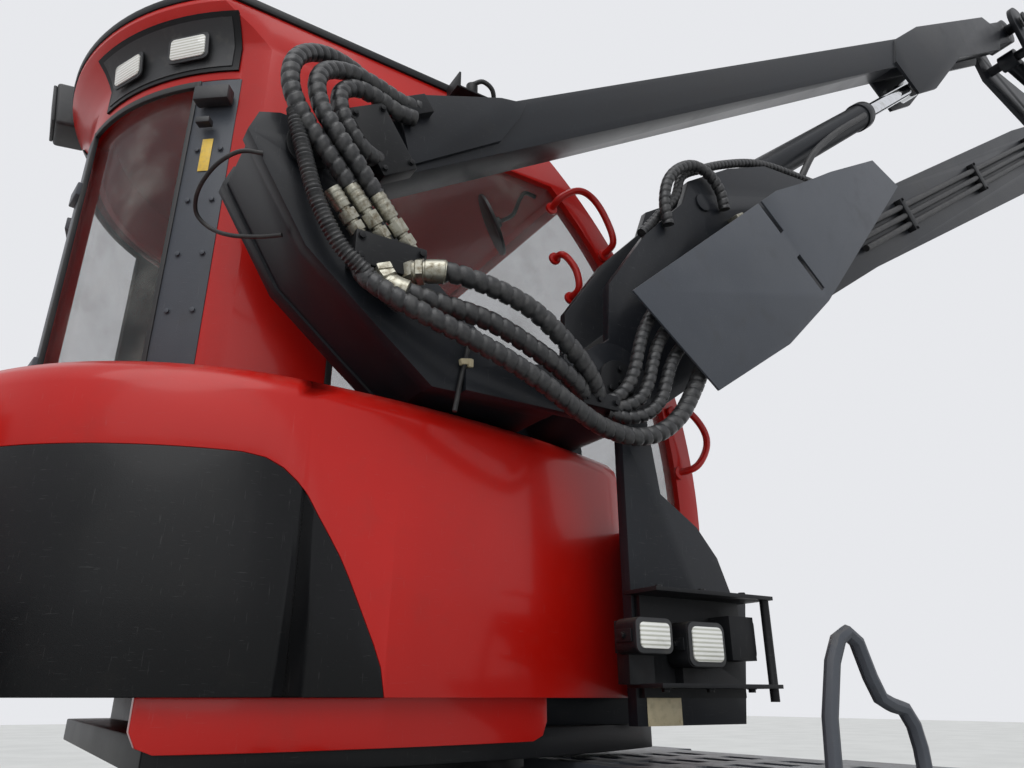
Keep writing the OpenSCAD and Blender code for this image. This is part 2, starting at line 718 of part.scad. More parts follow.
// Rear windows lie on the rounded wall, one on each side of a middle post
rear_window_from = 6;
rear_window_to = 56;
module rear_hole(side, margin = 0) {
  translate([cab_rear_cx, cab_y, 2330 + margin]) mirror([0, side > 0 ? 0 : 1, 0])
    linear_extrude(1110 - 2 * margin) {
      polygon([[0, 0],
        [-1400 * cos(rear_window_from + margin / 15), 1400 * sin(rear_window_from + margin / 15)],
        [-1400 * cos(rear_window_to - margin / 15), 1400 * sin(rear_window_to - margin / 15)]]);
    }
}
module cab_frame() {
  color(RED) difference() {
    cab_body(0, cab_z, roof_z);
    cab_body(cab_t, cab_z + 80, roof_z - 50);
    side_hole(-1, window_rear_x, window_z, pillar_w);
    side_hole(1, door_rear_x, door_z, pillar_w - 30);
    screen_hole(80);
    for (side = [-1, 1]) rear_hole(side);
  }
  // Flare of the rear wall under the roof's edge
  color(RED) intersection() {
    translate([cab_rear_cx, cab_y, roof_z]) rotate_extrude($fn = 180) polygon([[cab_rear_r - 40, -150],
      [cab_rear_r - 20, -150], [cab_rear_r, -140], [cab_rear_r + 12, -115], [cab_rear_r + 34, -80],
      [cab_rear_r + visor - 30, -45], [cab_rear_r + visor - 6, -18], [cab_rear_r + visor - 6, -seat],
      [cab_rear_r - 40, -seat]]);
    translate([-3000, cab_y - cab_w / 2, 0]) cube([3005 + cab_rear_x, cab_w, 5000]);
  }
  color(RED) {
    knuckle(-hinge_h, -90);
    for (z = hinge_z) translate([door_rear_x, hinge_y, z - hinge_h]) cylinder(r = 7, h = 2 * hinge_h);
  }
}
module cab_glass() {
  color([0.7, 0.8, 0.85, 0.4]) {
    // Panes stand in the openings, in the middle of the wall
    intersection() {
      side_hole(-1, window_rear_x + seat, [window_z[0] + seat, window_z[1] - seat], pillar_w + seat);
      translate([-3000, cab_y - cab_w / 2 + 24, 0]) cube([6000, pane_t, 5000]);
    }
    intersection() {
      difference() {
        cab_body(24, cab_z + 100, roof_z - 60);
        cab_body(24 + pane_t, cab_z, roof_z);
      }
      union() {
        intersection() {
          screen_hole(80 + seat);
          translate([-3000, -3000, 1850 + seat]) cube([6000, 6000, 1610 - 2 * seat]);
        }
        for (side = [-1, 1]) rear_hole(side, seat);
      }
    }
  }
}
module cab_roof() {
  color(BLACK) {
    translate([0, 0, roof_z]) linear_extrude(34) roof_plan(0);
    translate([0, 0, roof_z + 34]) linear_extrude(16) roof_plan(22);
  }
}
module roof_plan(inset) {
  intersection() {
    translate([cab_rear_cx, cab_y]) circle(cab_rear_r + visor - inset, $fn = 180);
    translate([-3000, cab_y - cab_w / 2 - 10 + inset]) square([3000 + cab_rear_x + 5,
        cab_w + 20 - 2 * inset]);
  }
  translate([cab_rear_x, cab_y - cab_w / 2 - 10 + inset]) square([roof_front_x - cab_rear_x - inset,
      cab_w + 20 - 2 * inset]);
}
module cab_seat() {
  color(DARK) translate([-150, cab_y, cab_z + 80 + seat]) {
    translate([-180, -200, 0]) cube([400, 400, 260]);
    translate([-260, -260, 260]) cube([540, 520, 130]);
    translate([-330, -240, 320]) rotate([0, -8, 0]) cube([130, 480, 720]);
    for (side = [-1, 1]) translate([-290, side * 275 - 45, 440]) cube([460, 90, 60]);
  }
}
// Door hinges: the frame's knuckle carries a pin that the door's knuckle turns on
hinge_y = cab_y + cab_w / 2 + 16;
hinge_r = 14;
hinge_z = [2050, 3250];
hinge_h = 60;
module knuckle(low, reach) {
  for (z = hinge_z) translate([door_rear_x, hinge_y, z + low]) {
    cylinder(r = hinge_r, h = hinge_h);
    translate([reach > 0 ? 0 : reach, -hinge_r - 4, 0]) cube([abs(reach), 14, hinge_h]);
  }
}
module cab_door() {
  outer_y = cab_y + cab_w / 2;
  color(RED) difference() {
    intersection() {
      side_hole(1, door_rear_x + gap, [door_z[0] + gap, door_z[1] - gap], pillar_w - 30 + gap);
      translate([-3000, outer_y - cab_t, 0]) cube([6000, cab_t, 5000]);
    }
    side_hole(1, door_rear_x + 95, [door_z[0] + 90, door_z[1] - 95], pillar_w + 60);
  }
  color(RED) difference() {
    knuckle(seat, 90);
    for (z = hinge_z) translate([door_rear_x, hinge_y, z - 100]) cylinder(r = 7 + seat, h = 300);
  }
}
module door_glass() {
  outer_y = cab_y + cab_w / 2;
  color([0.7, 0.8, 0.85, 0.4]) intersection() {
    side_hole(1, door_rear_x + 95 + seat, [door_z[0] + 90 + seat, door_z[1] - 95 - seat],
        pillar_w + 60 + seat);
    translate([-3000, outer_y - 24 - pane_t, 0]) cube([6000, pane_t, 5000]);
  }
}

// Crane pillar. Its base is two plates either side of the boom's pin: the inner one stands on
// the platform inside the tail cover, the outer one comes down outside as a closed housing.
// Two narrower plates lapped on their inner faces lean back to the upper link's pin.
pillar_low = tail_top_z + tail_gap;
foot_x = [-380, 400];
foot_z = platform_z + platform_t + seat;
arm_in = 100;
arm_out = 150;
web_let = 10;
housing_front = [[690, 1535], [738, 1860], [684, 1866], [640, 1970], [570, 2050], [440, 2130]];
housing_top = [[400, 2380], [340, 2380]];
module pillar_base() {
  polygon([[-190, pillar_low], [330, pillar_low], [410, 2330], boom_pin + [60, 110], boom_pin + [-60, 110],
      [80, 2445],
           [-60, 2410], [-190, 2370]]);
  translate(boom_pin) circle(130);
}
module pillar_arm() {
  polygon([[-720, 2950], [-770, 2930], [-790, 2870], [-620, 2600], [-430, 2440], [-272, pillar_low], [100,
      pillar_low],
           [100, 2345], [0, 2365], [-170, 2520], [-470, 2770], [-600, 2950]]);
  translate(pillar_pin) circle(84);
}
module crane_pillar() {
  color(BLACK) translate([0, crane_y, 0]) {
    // Outer plate with the housing's side
    translate([0, -(ear_gap + ear_plate) / 2, 0]) across(ear_plate) {
      pillar_base();
      polygon(concat([[310, 1535]], housing_front, housing_top, [[310, 2300]]));
    }
    // Inner plate down to the platform
    translate([0, (ear_gap + ear_plate) / 2, 0]) across(ear_plate) {
      pillar_base();
      polygon(concat([[foot_x[0], foot_z], [690, foot_z]], [for (i = [1 : 5]) housing_front[i]], housing_top,
        [[-180, pillar_low + 50], [foot_x[0], pillar_low - 5]]));
    }
    for (side = [-1, 1]) translate([0, side * (arm_in + arm_out) / 2, 0]) across(arm_out - arm_in)
        pillar_arm();
    // Foot box inside the tail cover
    translate([foot_x[0] + 10, ear_gap / 2 + 10, foot_z]) cube([foot_x[1] - foot_x[0] - 20, 125,
        pillar_low - foot_z - 20]);
    // Back web with the floor between the arm's plates, and the housing's front, let into the plates
    across(2 * (arm_in + web_let)) polygon([[-779, 2868], [-611, 2601], [-423, 2443], [-270, 2320], [-150,
        2320],
      [-150, 2347], [-262, 2347], [-407, 2462], [-589, 2617], [-749, 2868]]);
    across(ear_gap + 2 * web_let - 4) polygon([[-184, 2320], [110, 2320], [110, 2345], [-184, 2347]]);
    across(ear_gap + 2 * web_let - 4) polygon([[512, 1600], [686, 1600], [726, 1856], [676, 1858], [632,
        1964], [563, 2040],
      [522, 2066], [512, 2072]]);
    translate([boom_pin[0], 0, boom_pin[1]]) cross_bar(pin_r - seat, 2 * pillar_out + 20);
    translate([pillar_pin[0], 0, pillar_pin[1]]) cross_bar(pin_r - seat, 2 * arm_out + 24);
  }
}

// Hoses from the bulkhead block on the arm to the clamp above the housing: rings of points
// swept along chosen routes, [x, out from the arm's face, z]
hose_r = 26;
bulkhead_z = 2560;
clamp_x = 130;
module pillar_hoses() {
  color(DARK) {
    for (route = hose_routes) hose([for (p = route) [p[0], crane_y - arm_out - p[1], p[2]]], hose_r);
    translate([-520, crane_y - arm_out - 62, bulkhead_z]) cube([190, 62 - seat, 90]);
    translate([clamp_x, crane_y - pillar_out - 66, 2320]) cube([120, 66 - seat, 44]);
  }
}
hose_routes = [
  [[-440, 34, 2570], [-418, 60, 2520], [-330, 95, 2490], [-170, 110, 2470], [-20, 115, 2415], [90, 100,
      2370], [160, 58, 2344]],
  [[-372, 34, 2575], [-350, 62, 2580], [-260, 110, 2575], [-80, 130, 2535], [60, 125, 2455], [150, 100,
      2390], [206, 58, 2344]]
];
function dir(points, i) =
  let (a = points[max(i - 1, 0)], b = points[min(i + 1, len(points) - 1)]) (b - a) / norm(b - a);
function ring(p, d, r, n) =
  let (u = cross(d, [0, 1, 0]), v = u / norm(u), w = cross(d, v))
    [for (k = [0 : n - 1]) p + r * (cos(k * 360 / n) * v + sin(k * 360 / n) * w)];
module hose(points, r, n = 8) {
  rings = [for (i = [0 : len(points) - 1]) ring(points[i], dir(points, i), r, n)];
  last = len(points) - 1;
  polyhedron(
    points = [for (one = rings) each one],
    faces = concat(
      [[for (k = [0 : n - 1]) k]],
      [for (i = [0 : last - 1], k = [0 : n - 1])
        [i * n + k, (i + 1) * n + k, (i + 1) * n + (k + 1) % n, i * n + (k + 1) % n]],
      [[for (k = [n - 1 : -1 : 0]) last * n + k]]));
}

// Main boom: a spindle-shaped box with a hump of two plates at its root
module main_boom() {
  color(BLACK) in_crane(boom_pin, crane_a) difference() {
    union() {
      across(boom_w) union() {
        circle(125);
        polygon([[-40, -118], [60, -130], [600, -110], [1800, -100], [4200, -190], [boom_l - 300, -140],
            [boom_l, -90],
                 [boom_l, 90], [boom_l - 300, 130], [4200, 200], [2600, 200], [600, 200], [100, 130], [-40,
                     118]]);
        translate([boom_l, 0]) circle(92);
      }
      for (side = [-1, 1]) translate([0, side * (boom_w / 2 - 15), 0]) across(30)
        polygon([[100, 120], [223, 284], [497, 391], [763, 450], [860, 520], [1130, 520], [1373, 484],
                 [1950, 190], [1000, 150]]);
    }
    cross_bar(pin_r, boom_w + 10);
    translate([boom_l, 0, 0]) cross_bar(pin_r, boom_w + 10);
  }
  color(BLACK) in_crane(lift_barrel_pin) cross_bar(eye_pin_r - seat, boom_w + 20);
}

// Folded guard plate outside the boom's root
module hose_guard() {
  color(GREY) in_crane(boom_pin, crane_a) {
    translate([0, -boom_w / 2 - 170, 0]) across(8) difference() {
      polygon([[107, 217], [234, -154], [666, -152], [1002, -98], [1943, 168], [1848, 314], [1477, 332],
               [1224, 331], [1049, 338]]);
      translate([930, 265]) rotate(-75) square([150, 26], center = true);
      translate([985, 20]) rotate(-75) square([150, 26], center = true);
    }
    for (x = [700, 1500]) translate([x, -boom_w / 2 - 168, 60]) cube([60, 168, 60]);
  }
}

// Lift cylinder between the hump and the upper link
lift_vec = lift_rod_pin - lift_barrel_pin;
lift_a = atan2(lift_vec[1], lift_vec[0]);
lift_l = norm(lift_vec);
module cylinder_barrel(pin, angle, r, rod, l) {
  in_crane(pin, angle) difference() {
    union() {
      cross_bar(r + 8, 110);
      translate([r * 0.6, 0, 0]) rotate([0, 90, 0]) cylinder(r = r, h = l - r * 0.6);
      translate([l - 70, 0, 0]) rotate([0, 90, 0]) cylinder(r = r + 8, h = 70);
    }
    cross_bar(eye_pin_r, 200);
    translate([140, 0, 0]) rotate([0, 90, 0]) cylinder(r = rod + seat, h = l);
  }
}
module cylinder_rod(pin, angle, rod, from, l) {
  in_crane(pin, angle) difference() {
    union() {
      translate([from, 0, 0]) rotate([0, 90, 0]) cylinder(r = rod, h = l - from - rod);
      translate([l, 0, 0]) cross_bar(rod * 1.5, 100);
    }
    translate([l, 0, 0]) cross_bar(pin_r - 12, 200);
  }
}
module lift_barrel() { color(BLACK) cylinder_barrel(lift_barrel_pin, lift_a, 64, 38, 1850); }
module lift_rod() { color(STEEL) cylinder_rod(lift_barrel_pin, lift_a, 38, 520, lift_l); }

// Upper link: a long box, with side plates at its rear and wide plates at its front
module tension_link() {
  color(BLACK) in_crane(pillar_pin, crane_a) difference() {
    union() {
      across(link_w) union() {
        circle(70);
        polygon([[0, -70], [220, -link_h / 2], [boom_l, -link_h / 2], [boom_l, link_h / 2], [220,
            link_h / 2], [0, 70]]);
        translate([boom_l, 0]) circle(95);
      }
      for (side = [-1, 1]) translate([0, side * (link_w / 2 + 8), 0]) {
        across(16) polygon([[320, -65], [390, 138], [488, 141], [780, 93], [870, 60], [820, 20], [686, -49]]);
        across(16) polygon([[3765, -60], [3832, -272], [4098, -272], [4700, -120], [5500, -130],
                            [5700, 0], [5500, 130], [4300, 130], [3930, 75]]);
      }
    }
    cross_bar(pin_r, link_w + 60);
    translate([boom_l, 0, 0]) cross_bar(pin_r, link_w + 60);
    // Fork for the lift cylinder's eye
    translate([3740, -link_w / 2 + 16, -400]) cube([600, link_w - 32, 800]);
  }
}

// Rocker: two plates that join the boom's tip, the upper link and the outer boom
rocker_t = 30;
module rocker_side() {
  k = [0, 0];
  p = link_pin - tip_pin;
  m = stick_barrel_pin - tip_pin;
  j = stick_pin - tip_pin;
  difference() {
    union() {
      polygon([p + [-125, 0], p + [-60, 110], p + [60, 110], m + [80, 90], [-250, 330], [100, 140],
               j + [60, 130], j + [140, 0], j + [60, -130], k + [-60, -150], m + [-100, -110]]);
      translate(p) circle(125);
      translate(m) circle(100);
      translate(j) circle(140);
      translate(k) circle(150);
    }
  }
}
rocker_gap = 276;
module rocker() {
  color(BLACK) in_crane(tip_pin) {
    for (side = [-1, 1]) translate([0, side * (rocker_gap + rocker_t) / 2, 0]) across(rocker_t) rocker_side();
    for (c = [[link_pin, pin_r], [stick_barrel_pin, eye_pin_r], [stick_pin, pin_r], [tip_pin, pin_r]])
      translate([c[0][0] - tip_pin[0], 0, c[0][1] - tip_pin[1]])
        cross_bar(c[1] - seat, rocker_gap + 2 * rocker_t + 24);
  }
}

// Outer boom: a square tube with a lever above its pin
module outer_boom() {
  lever_a = 125;
  color(BLACK) in_crane(stick_pin, stick_a) difference() {
    union() {
      across(stick_h) union() {
        circle(130);
        polygon([[-60, -110], [300, -stick_h / 2], [stick_l, -stick_h / 2], [stick_l, stick_h / 2],
                 [350, stick_h / 2], [0, 130]]);
      }
      for (side = [-1, 1]) translate([0, side * 90, 0]) across(40) {
        polygon([turned(lever_a, [stick_lever, 80]), [-130, 0], [0, -60], [420, stick_h / 2 - 10],
                 turned(lever_a, [stick_lever, -80])]);
        translate(turned(lever_a, [stick_lever, 0])) circle(80);
      }
    }
    cross_bar(pin_r, stick_h + 10);
    // Bore of the tube
    translate([480, -stick_h / 2 + stick_wall, -stick_h / 2 + stick_wall])
      cube([stick_l, stick_h - 2 * stick_wall, stick_h - 2 * stick_wall]);
  }
  // Slide pads in the mouth
  color(BLACK) in_crane(stick_pin, stick_a) for (turn = [0 : 3]) rotate([turn * 90, 0, 0])
    translate([stick_l - 160, -60, ext_h / 2 + seat]) cube([150, 120,
        stick_h / 2 - stick_wall / 2 - ext_h / 2 - seat]);
}
stick_vec = stick_lever_pin - stick_barrel_pin;
stick_cyl_a = atan2(stick_vec[1], stick_vec[0]);
stick_cyl_l = norm(stick_vec);
module stick_barrel() { color(BLACK) cylinder_barrel(stick_barrel_pin, stick_cyl_a, 55, 30, 870); }
module stick_rod() { color(STEEL) cylinder_rod(stick_barrel_pin, stick_cyl_a, 30, 340, stick_cyl_l); }

// Telescopic extension
stick_wall = 22;
ext_h = stick_h - 2 * stick_wall - 2 * gap;
module extension() {
  color(BLACK) in_crane(stick_pin, stick_a) difference() {
    union() {
      translate([600, -ext_h / 2, -ext_h / 2]) cube([stick_l + 330 - 600 - 60, ext_h, ext_h]);
      translate([stick_l + 330, 0, 0]) cross_bar(95, ext_h);
      translate([stick_l + 200, -ext_h / 2, -80]) cube([130, ext_h, 160]);
    }
    translate([stick_l + 330, 0, 0]) cross_bar(pin_r - 5, ext_h + 10);
    translate([stick_l + 200, -60, -200]) cube([400, 120, 400]);
  }
}

// Harvester head, hanging from the extension's pin
module in_head() {
  translate([head_pin[0], crane_y, head_pin[1]]) children();
}
swing_drop = 150;
module swing_link() {
  color(BLACK) in_head() {
    cross_bar(pin_r - 5 - seat, ext_h + 30);
    cross_bar(75, 106);
    translate([-50, -53, -swing_drop]) cube([100, 106, swing_drop]);
    translate([-70, 0, -swing_drop]) rotate([0, 90, 0]) cylinder(r = 53, h = 140);
    translate([-120, 0, -swing_drop]) rotate([0, 90, 0]) cylinder(r = 30, h = 240);
  }
}
rotator_top = -swing_drop - 80;
rotator_low = -430;
module rotator() {
  color(BLACK) in_head() {
    for (side = [-1, 1]) difference() {
      union() {
        translate([side * 95 - 20, -60, rotator_top - 20]) cube([40, 120, -rotator_top + 20 - swing_drop]);
        translate([side * 95 - 20, 0, -swing_drop]) rotate([0, 90, 0]) cylinder(r = 60, h = 40);
      }
      translate([-200, 0, -swing_drop]) rotate([0, 90, 0]) cylinder(r = 30 + seat, h = 400);
    }
    translate([0, 0, rotator_low + 30]) cylinder(r = 135, h = rotator_top - rotator_low - 30);
    translate([0, 0, rotator_low]) cylinder(r = 105, h = 40);
  }
}
bracket_t = 30;
tilt_z = rotator_low - 260;
tilt_pin_r = 35;
module head_bracket() {
  color(RED) in_head() {
    translate([-170, -220, rotator_low - bracket_t - seat]) cube([340, 440, bracket_t]);
    for (side = [-1, 1]) translate([0, side * 205, 0]) across(bracket_t) difference() {
      union() {
        polygon([[-170, rotator_low - bracket_t - seat], [170, rotator_low - bracket_t - seat],
                 [105, tilt_z], [-105, tilt_z]]);
        translate([0, tilt_z]) circle(105);
      }
      translate([0, tilt_z]) circle(tilt_pin_r);
    }
  }
}
head_low = tilt_z + 180 - head_l;
knife_z = [tilt_z - 240, head_low + 420];
spine_x = -70;
spine_w = 300;
module head_frame() {
  color(RED) in_head() {
    translate([0, 0, tilt_z]) cross_bar(tilt_pin_r - seat, 460);
    translate([0, 0, tilt_z]) cross_bar(95, 370);
    // Spine: a channel with its back towards the machine
    difference() {
      across(spine_w) polygon([[-80, tilt_z + 60], [60, tilt_z + 40], [60, tilt_z - 80], [spine_x + 60,
          tilt_z - 140],
        [spine_x + 60, head_low + 190], [-200, head_low + 190], [-200, tilt_z - 220]]);
      translate([spine_x - 60, -90, head_low + 240]) cube([300, 180, tilt_z - 460 - head_low]);
    }
    // Saw box with a slot for the bar
    difference() {
      across(560) polygon([[-220, head_low], [10, head_low], [30, head_low + 30], [30, head_low + 190],
        [-220, head_low + 190], [-250, head_low + 120]]);
      translate([-170, -500, head_low + 20]) cube([400, 740, 50]);
    }
    // Fixed top knife above the spine
    translate([60, -130, tilt_z - 70]) cube([30, 260, 150]);
    // Pins of the arms and the knives
    both_sides() {
      for (z = [arm_z, knife_z[0], knife_z[1]])
        translate([arm_x, arm_y, z]) cylinder(r = 22, h = pin_span(z), center = true);
      for (z = [arm_z, knife_z[0], knife_z[1]], end = [-1, 1])
        translate([arm_x - 45, spine_w / 2 - 10, z + end * pin_span(z) / 2 - (end > 0 ? 0 : 25)])
          cube([90, arm_y - spine_w / 2 + 45, 25]);
    }
  }
}
arm_x = -110;
arm_y = 215;
arm_z = (knife_z[0] + knife_z[1]) / 2;
function pin_span(z) = z == arm_z ? 300 : 130;

// Feed arm and its roller: the arm swings about an upright pin beside the spine
roller_x = 330;
roller_y = 300;
roller_h = 330;
module feed_arm() {
  in_head() translate([arm_x, arm_y, arm_z]) difference() {
    union() {
      cylinder(r = 42, h = 290, center = true);
      for (z = [-1, 1]) translate([0, 0, z * 205 - 15]) linear_extrude(30) union() {
        polygon([[-42, 0], [42, -30], [200, -20], [roller_x + 50, roller_y - arm_y - 30],
                 [roller_x - 30, roller_y - arm_y + 50], [120, 80]]);
        circle(42);
        translate([roller_x, roller_y - arm_y]) circle(55);
      }
      translate([60, -20, -190]) cube([70, 70, 380]);
      translate([0, -20, -140]) cube([70, 60, 280]);
      translate([roller_x, roller_y - arm_y, 0]) cylinder(r = 30, h = 400, center = true);
    }
    cylinder(r = 22 + seat, h = 500, center = true);
    translate([0, 0, 190]) cylinder(r = 80, h = 70, center = true);
    translate([0, 0, -190]) cylinder(r = 80, h = 70, center = true);
  }
}
module feed_roller() {
  in_head() translate([arm_x + roller_x, roller_y, arm_z]) difference() {
    union() {
      cylinder(r = roller_r - 22, h = roller_h, center = true);
      for (i = [0 : 11]) rotate(i * 30) translate([0, -9, -roller_h / 2 + 15]) cube([roller_r, 18,
          roller_h - 30]);
    }
    cylinder(r = 30 + seat, h = 500, center = true);
  }
}
module other_side() {
  translate([0, 2 * crane_y, 0]) mirror([0, 1, 0]) children();
}

// A pair of curved delimbing knives on upright pins
module knife() {
  in_head() for (z = knife_z) translate([arm_x, arm_y, z]) difference() {
    union() {
      cylinder(r = 40, h = 116, center = true);
      linear_extrude(50, center = true) difference() {
        intersection() {
          translate([260, -70]) difference() {
            circle(knife_bend + 40);
            circle(knife_bend);
          }
          polygon([[-60, -20], [600, -20], [900, 500], [-60, 500]]);
        }
      }
      translate([-30, 0, -25]) cube([90, 90, 50]);
    }
    cylinder(r = 22 + seat, h = 500, center = true);
  }
}
knife_bend = 270;
saw_x = -130;
saw_y = 190;
module saw_bar() {
  color(STEEL) in_head() translate([saw_x, saw_y, head_low + 40]) {
    cylinder(r = 32, h = 40, center = true);
    linear_extrude(10, center = true) union() {
      polygon([[-30, 0], [-22, -640], [22, -640], [30, 0]]);
      translate([0, -640]) circle(22);
    }
  }
}
module feed_arm_l() { color(GREY) feed_arm(); }
module feed_arm_r() { color(GREY) other_side() feed_arm(); }
module feed_roller_l() { color(STEEL) feed_roller(); }
module feed_roller_r() { color(STEEL) other_side() feed_roller(); }
module knife_l() { color(STEEL) knife(); }
module knife_r() { color(STEEL) other_side() knife(); }

module place() {
  translate([-centre_x, 0, 0]) children();
}

place() front_frame();
place() steer_seats();
place() front_axle();
place() front_decks();
place() front_wheel_place(1, 1) front_rim();  // front_rim_l1
place() front_wheel_place(1, -1) front_rim();  // front_rim_l2
place() front_wheel_place(-1, 1) front_rim();  // front_rim_r1
place() front_wheel_place(-1, -1) front_rim();  // front_rim_r2
place() front_wheel_place(1, 1) tyre(front_tyre_d,  // front_tyre_l1
    front_tyre_w, front_rim_d);
place() front_wheel_place(1, -1) tyre(front_tyre_d,  // front_tyre_l2
    front_tyre_w, front_rim_d);
place() front_wheel_place(-1, 1) tyre(front_tyre_d,  // front_tyre_r1
    front_tyre_w, front_rim_d);
place() front_wheel_place(-1, -1) tyre(front_tyre_d,  // front_tyre_r2
    front_tyre_w, front_rim_d);
place() rear_frame();
place() steer_brackets();
place() rear_axle();
place() rear_decks();
place() engine();
place() rear_wheel_place(1) rear_rim();  // rear_rim_l
place() rear_wheel_place(-1) rear_rim();  // rear_rim_r
place() rear_wheel_place(1) tyre(rear_tyre_d, rear_tyre_w,  // rear_tyre_l
    rear_rim_d);
place() rear_wheel_place(-1) tyre(rear_tyre_d, rear_tyre_w,  // rear_tyre_r
    rear_rim_d);
place() steer_barrel();  // steer_barrel_l
place() steer_rod();  // steer_rod_l
place() mirror([0, 1, 0]) steer_barrel();  // steer_barrel_r
place() mirror([0, 1, 0]) steer_rod();  // steer_rod_r
place() engine_hood();
place() hood_grille();
place() turntable();
place() tail_cover();
place() tail_panels();
place() lamp_shelf();
place() cab_frame();
place() cab_roof();
place() cab_glass();
place() cab_seat();
place() cab_door();
place() door_glass();
place() crane_pillar();
place() pillar_hoses();
place() main_boom();
place() hose_guard();
place() lift_barrel();
place() lift_rod();
place() tension_link();
place() rocker();
place() stick_barrel();
place() stick_rod();
place() outer_boom();
place() extension();
place() swing_link();
place() rotator();
place() head_bracket();
place() head_frame();
place() feed_arm_l();
place() feed_arm_r();
place() feed_roller_l();
place() feed_roller_r();
place() knife_l();
place() knife_r();
place() saw_bar();
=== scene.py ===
import json
from math import cos, pi, radians, sin

import bmesh
import bpy
from mathutils import Matrix, Vector

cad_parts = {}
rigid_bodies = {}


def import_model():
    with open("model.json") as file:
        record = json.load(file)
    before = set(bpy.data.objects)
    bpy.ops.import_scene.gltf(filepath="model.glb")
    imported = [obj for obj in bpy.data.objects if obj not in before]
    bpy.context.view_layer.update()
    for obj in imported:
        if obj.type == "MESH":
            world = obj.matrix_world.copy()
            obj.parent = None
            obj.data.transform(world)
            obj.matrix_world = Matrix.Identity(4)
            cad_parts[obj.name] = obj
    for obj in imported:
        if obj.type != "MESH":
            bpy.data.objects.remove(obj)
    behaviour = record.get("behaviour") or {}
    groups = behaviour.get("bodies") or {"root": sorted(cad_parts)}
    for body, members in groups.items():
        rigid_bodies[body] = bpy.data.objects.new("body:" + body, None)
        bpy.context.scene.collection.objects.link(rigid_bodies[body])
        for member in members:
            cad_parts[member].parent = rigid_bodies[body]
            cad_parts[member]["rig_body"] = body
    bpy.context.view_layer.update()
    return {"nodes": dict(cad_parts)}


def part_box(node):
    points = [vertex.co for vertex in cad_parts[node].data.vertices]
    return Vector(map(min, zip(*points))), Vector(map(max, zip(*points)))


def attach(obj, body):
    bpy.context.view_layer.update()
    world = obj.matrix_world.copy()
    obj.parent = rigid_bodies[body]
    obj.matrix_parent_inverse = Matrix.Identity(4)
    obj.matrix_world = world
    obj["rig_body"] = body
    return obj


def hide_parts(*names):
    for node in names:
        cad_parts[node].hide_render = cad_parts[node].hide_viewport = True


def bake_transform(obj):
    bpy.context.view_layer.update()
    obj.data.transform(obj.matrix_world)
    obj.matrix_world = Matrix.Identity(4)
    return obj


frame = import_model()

# Places are given about the slewing axis, as in the part's source: x, y and z in metres

CENTRE_X = 1.332
CRANE_Y = -0.85
CRANE_ANGLE = radians(33.4)
STICK_ANGLE = radians(-50)
PILLAR_PIN = (-0.64, 2.868)
BOOM_PIN = (0.30, 2.43)
BOOM_LENGTH = 5.92
CAB_Y = 0.20
CAB_HALF = 0.75
CAB_REAR_X = -0.281
ARM_FACE_Y = -1.0
PLATE_FACE_Y = -1.024
SIDE = Vector((0, -1, 0))
UP = Vector((0, 0, 1))
SIDES = ((-1, "r"), (1, "l"))


def at(x, y, z):
    """A place about the slewing axis, in the shared frame."""
    return Vector((x - CENTRE_X, y, z))


def turned(pin, angle, x, z):
    """X and Z of a place that lies x along and z square to a direction from a pin."""
    return pin[0] + x * cos(angle) - z * sin(angle), pin[1] + x * sin(angle) + z * cos(angle)


def crane(x, z, y=0.0, pin=BOOM_PIN, angle=CRANE_ANGLE):
    """A place along a crane part: x along it from its pin, z square to it, y across it."""
    across, up = turned(pin, angle, x, z)
    return at(across, CRANE_Y + y, up)


def leant(angle):
    """A turn about Y, in degrees."""
    return Matrix.Rotation(radians(angle), 3, "Y")


CRANE_TURN = Matrix.Rotation(-CRANE_ANGLE, 3, "Y")
STICK_TURN = Matrix.Rotation(-STICK_ANGLE, 3, "Y")
TIP_PIN = turned(BOOM_PIN, CRANE_ANGLE, BOOM_LENGTH, 0)
LINK_END = turned(PILLAR_PIN, CRANE_ANGLE, BOOM_LENGTH, 0)
STICK_PIN = (TIP_PIN[0] + 0.30, TIP_PIN[1] - 0.15)
HEAD_PIN = turned(STICK_PIN, STICK_ANGLE, 3.23, 0)

# Camera, matched to the photograph's frame

IMAGE_WIDTH = 1024
FOCAL_PIXELS = 773
SENSOR = 36.0
CAMERA_PLACE = at(-1.05, -2.60, 1.60)
CAMERA_HEADING = radians(57.7)
CAMERA_PITCH = radians(22.1)


def make_camera():
    data = bpy.data.cameras.new("camera")
    data.sensor_fit = "HORIZONTAL"
    data.sensor_width = SENSOR
    data.lens = FOCAL_PIXELS / IMAGE_WIDTH * SENSOR
    data.clip_end = 200
    camera = bpy.data.objects.new("camera", data)
    bpy.context.scene.collection.objects.link(camera)
    aim = Vector((
        cos(CAMERA_HEADING) * cos(CAMERA_PITCH),
        sin(CAMERA_HEADING) * cos(CAMERA_PITCH),
        sin(CAMERA_PITCH),
    ))
    camera.matrix_world = Matrix.Translation(CAMERA_PLACE) @ aim.to_track_quat("-Z", "Y").to_matrix().to_4x4()
    bpy.context.scene.camera = camera


# Shader maths

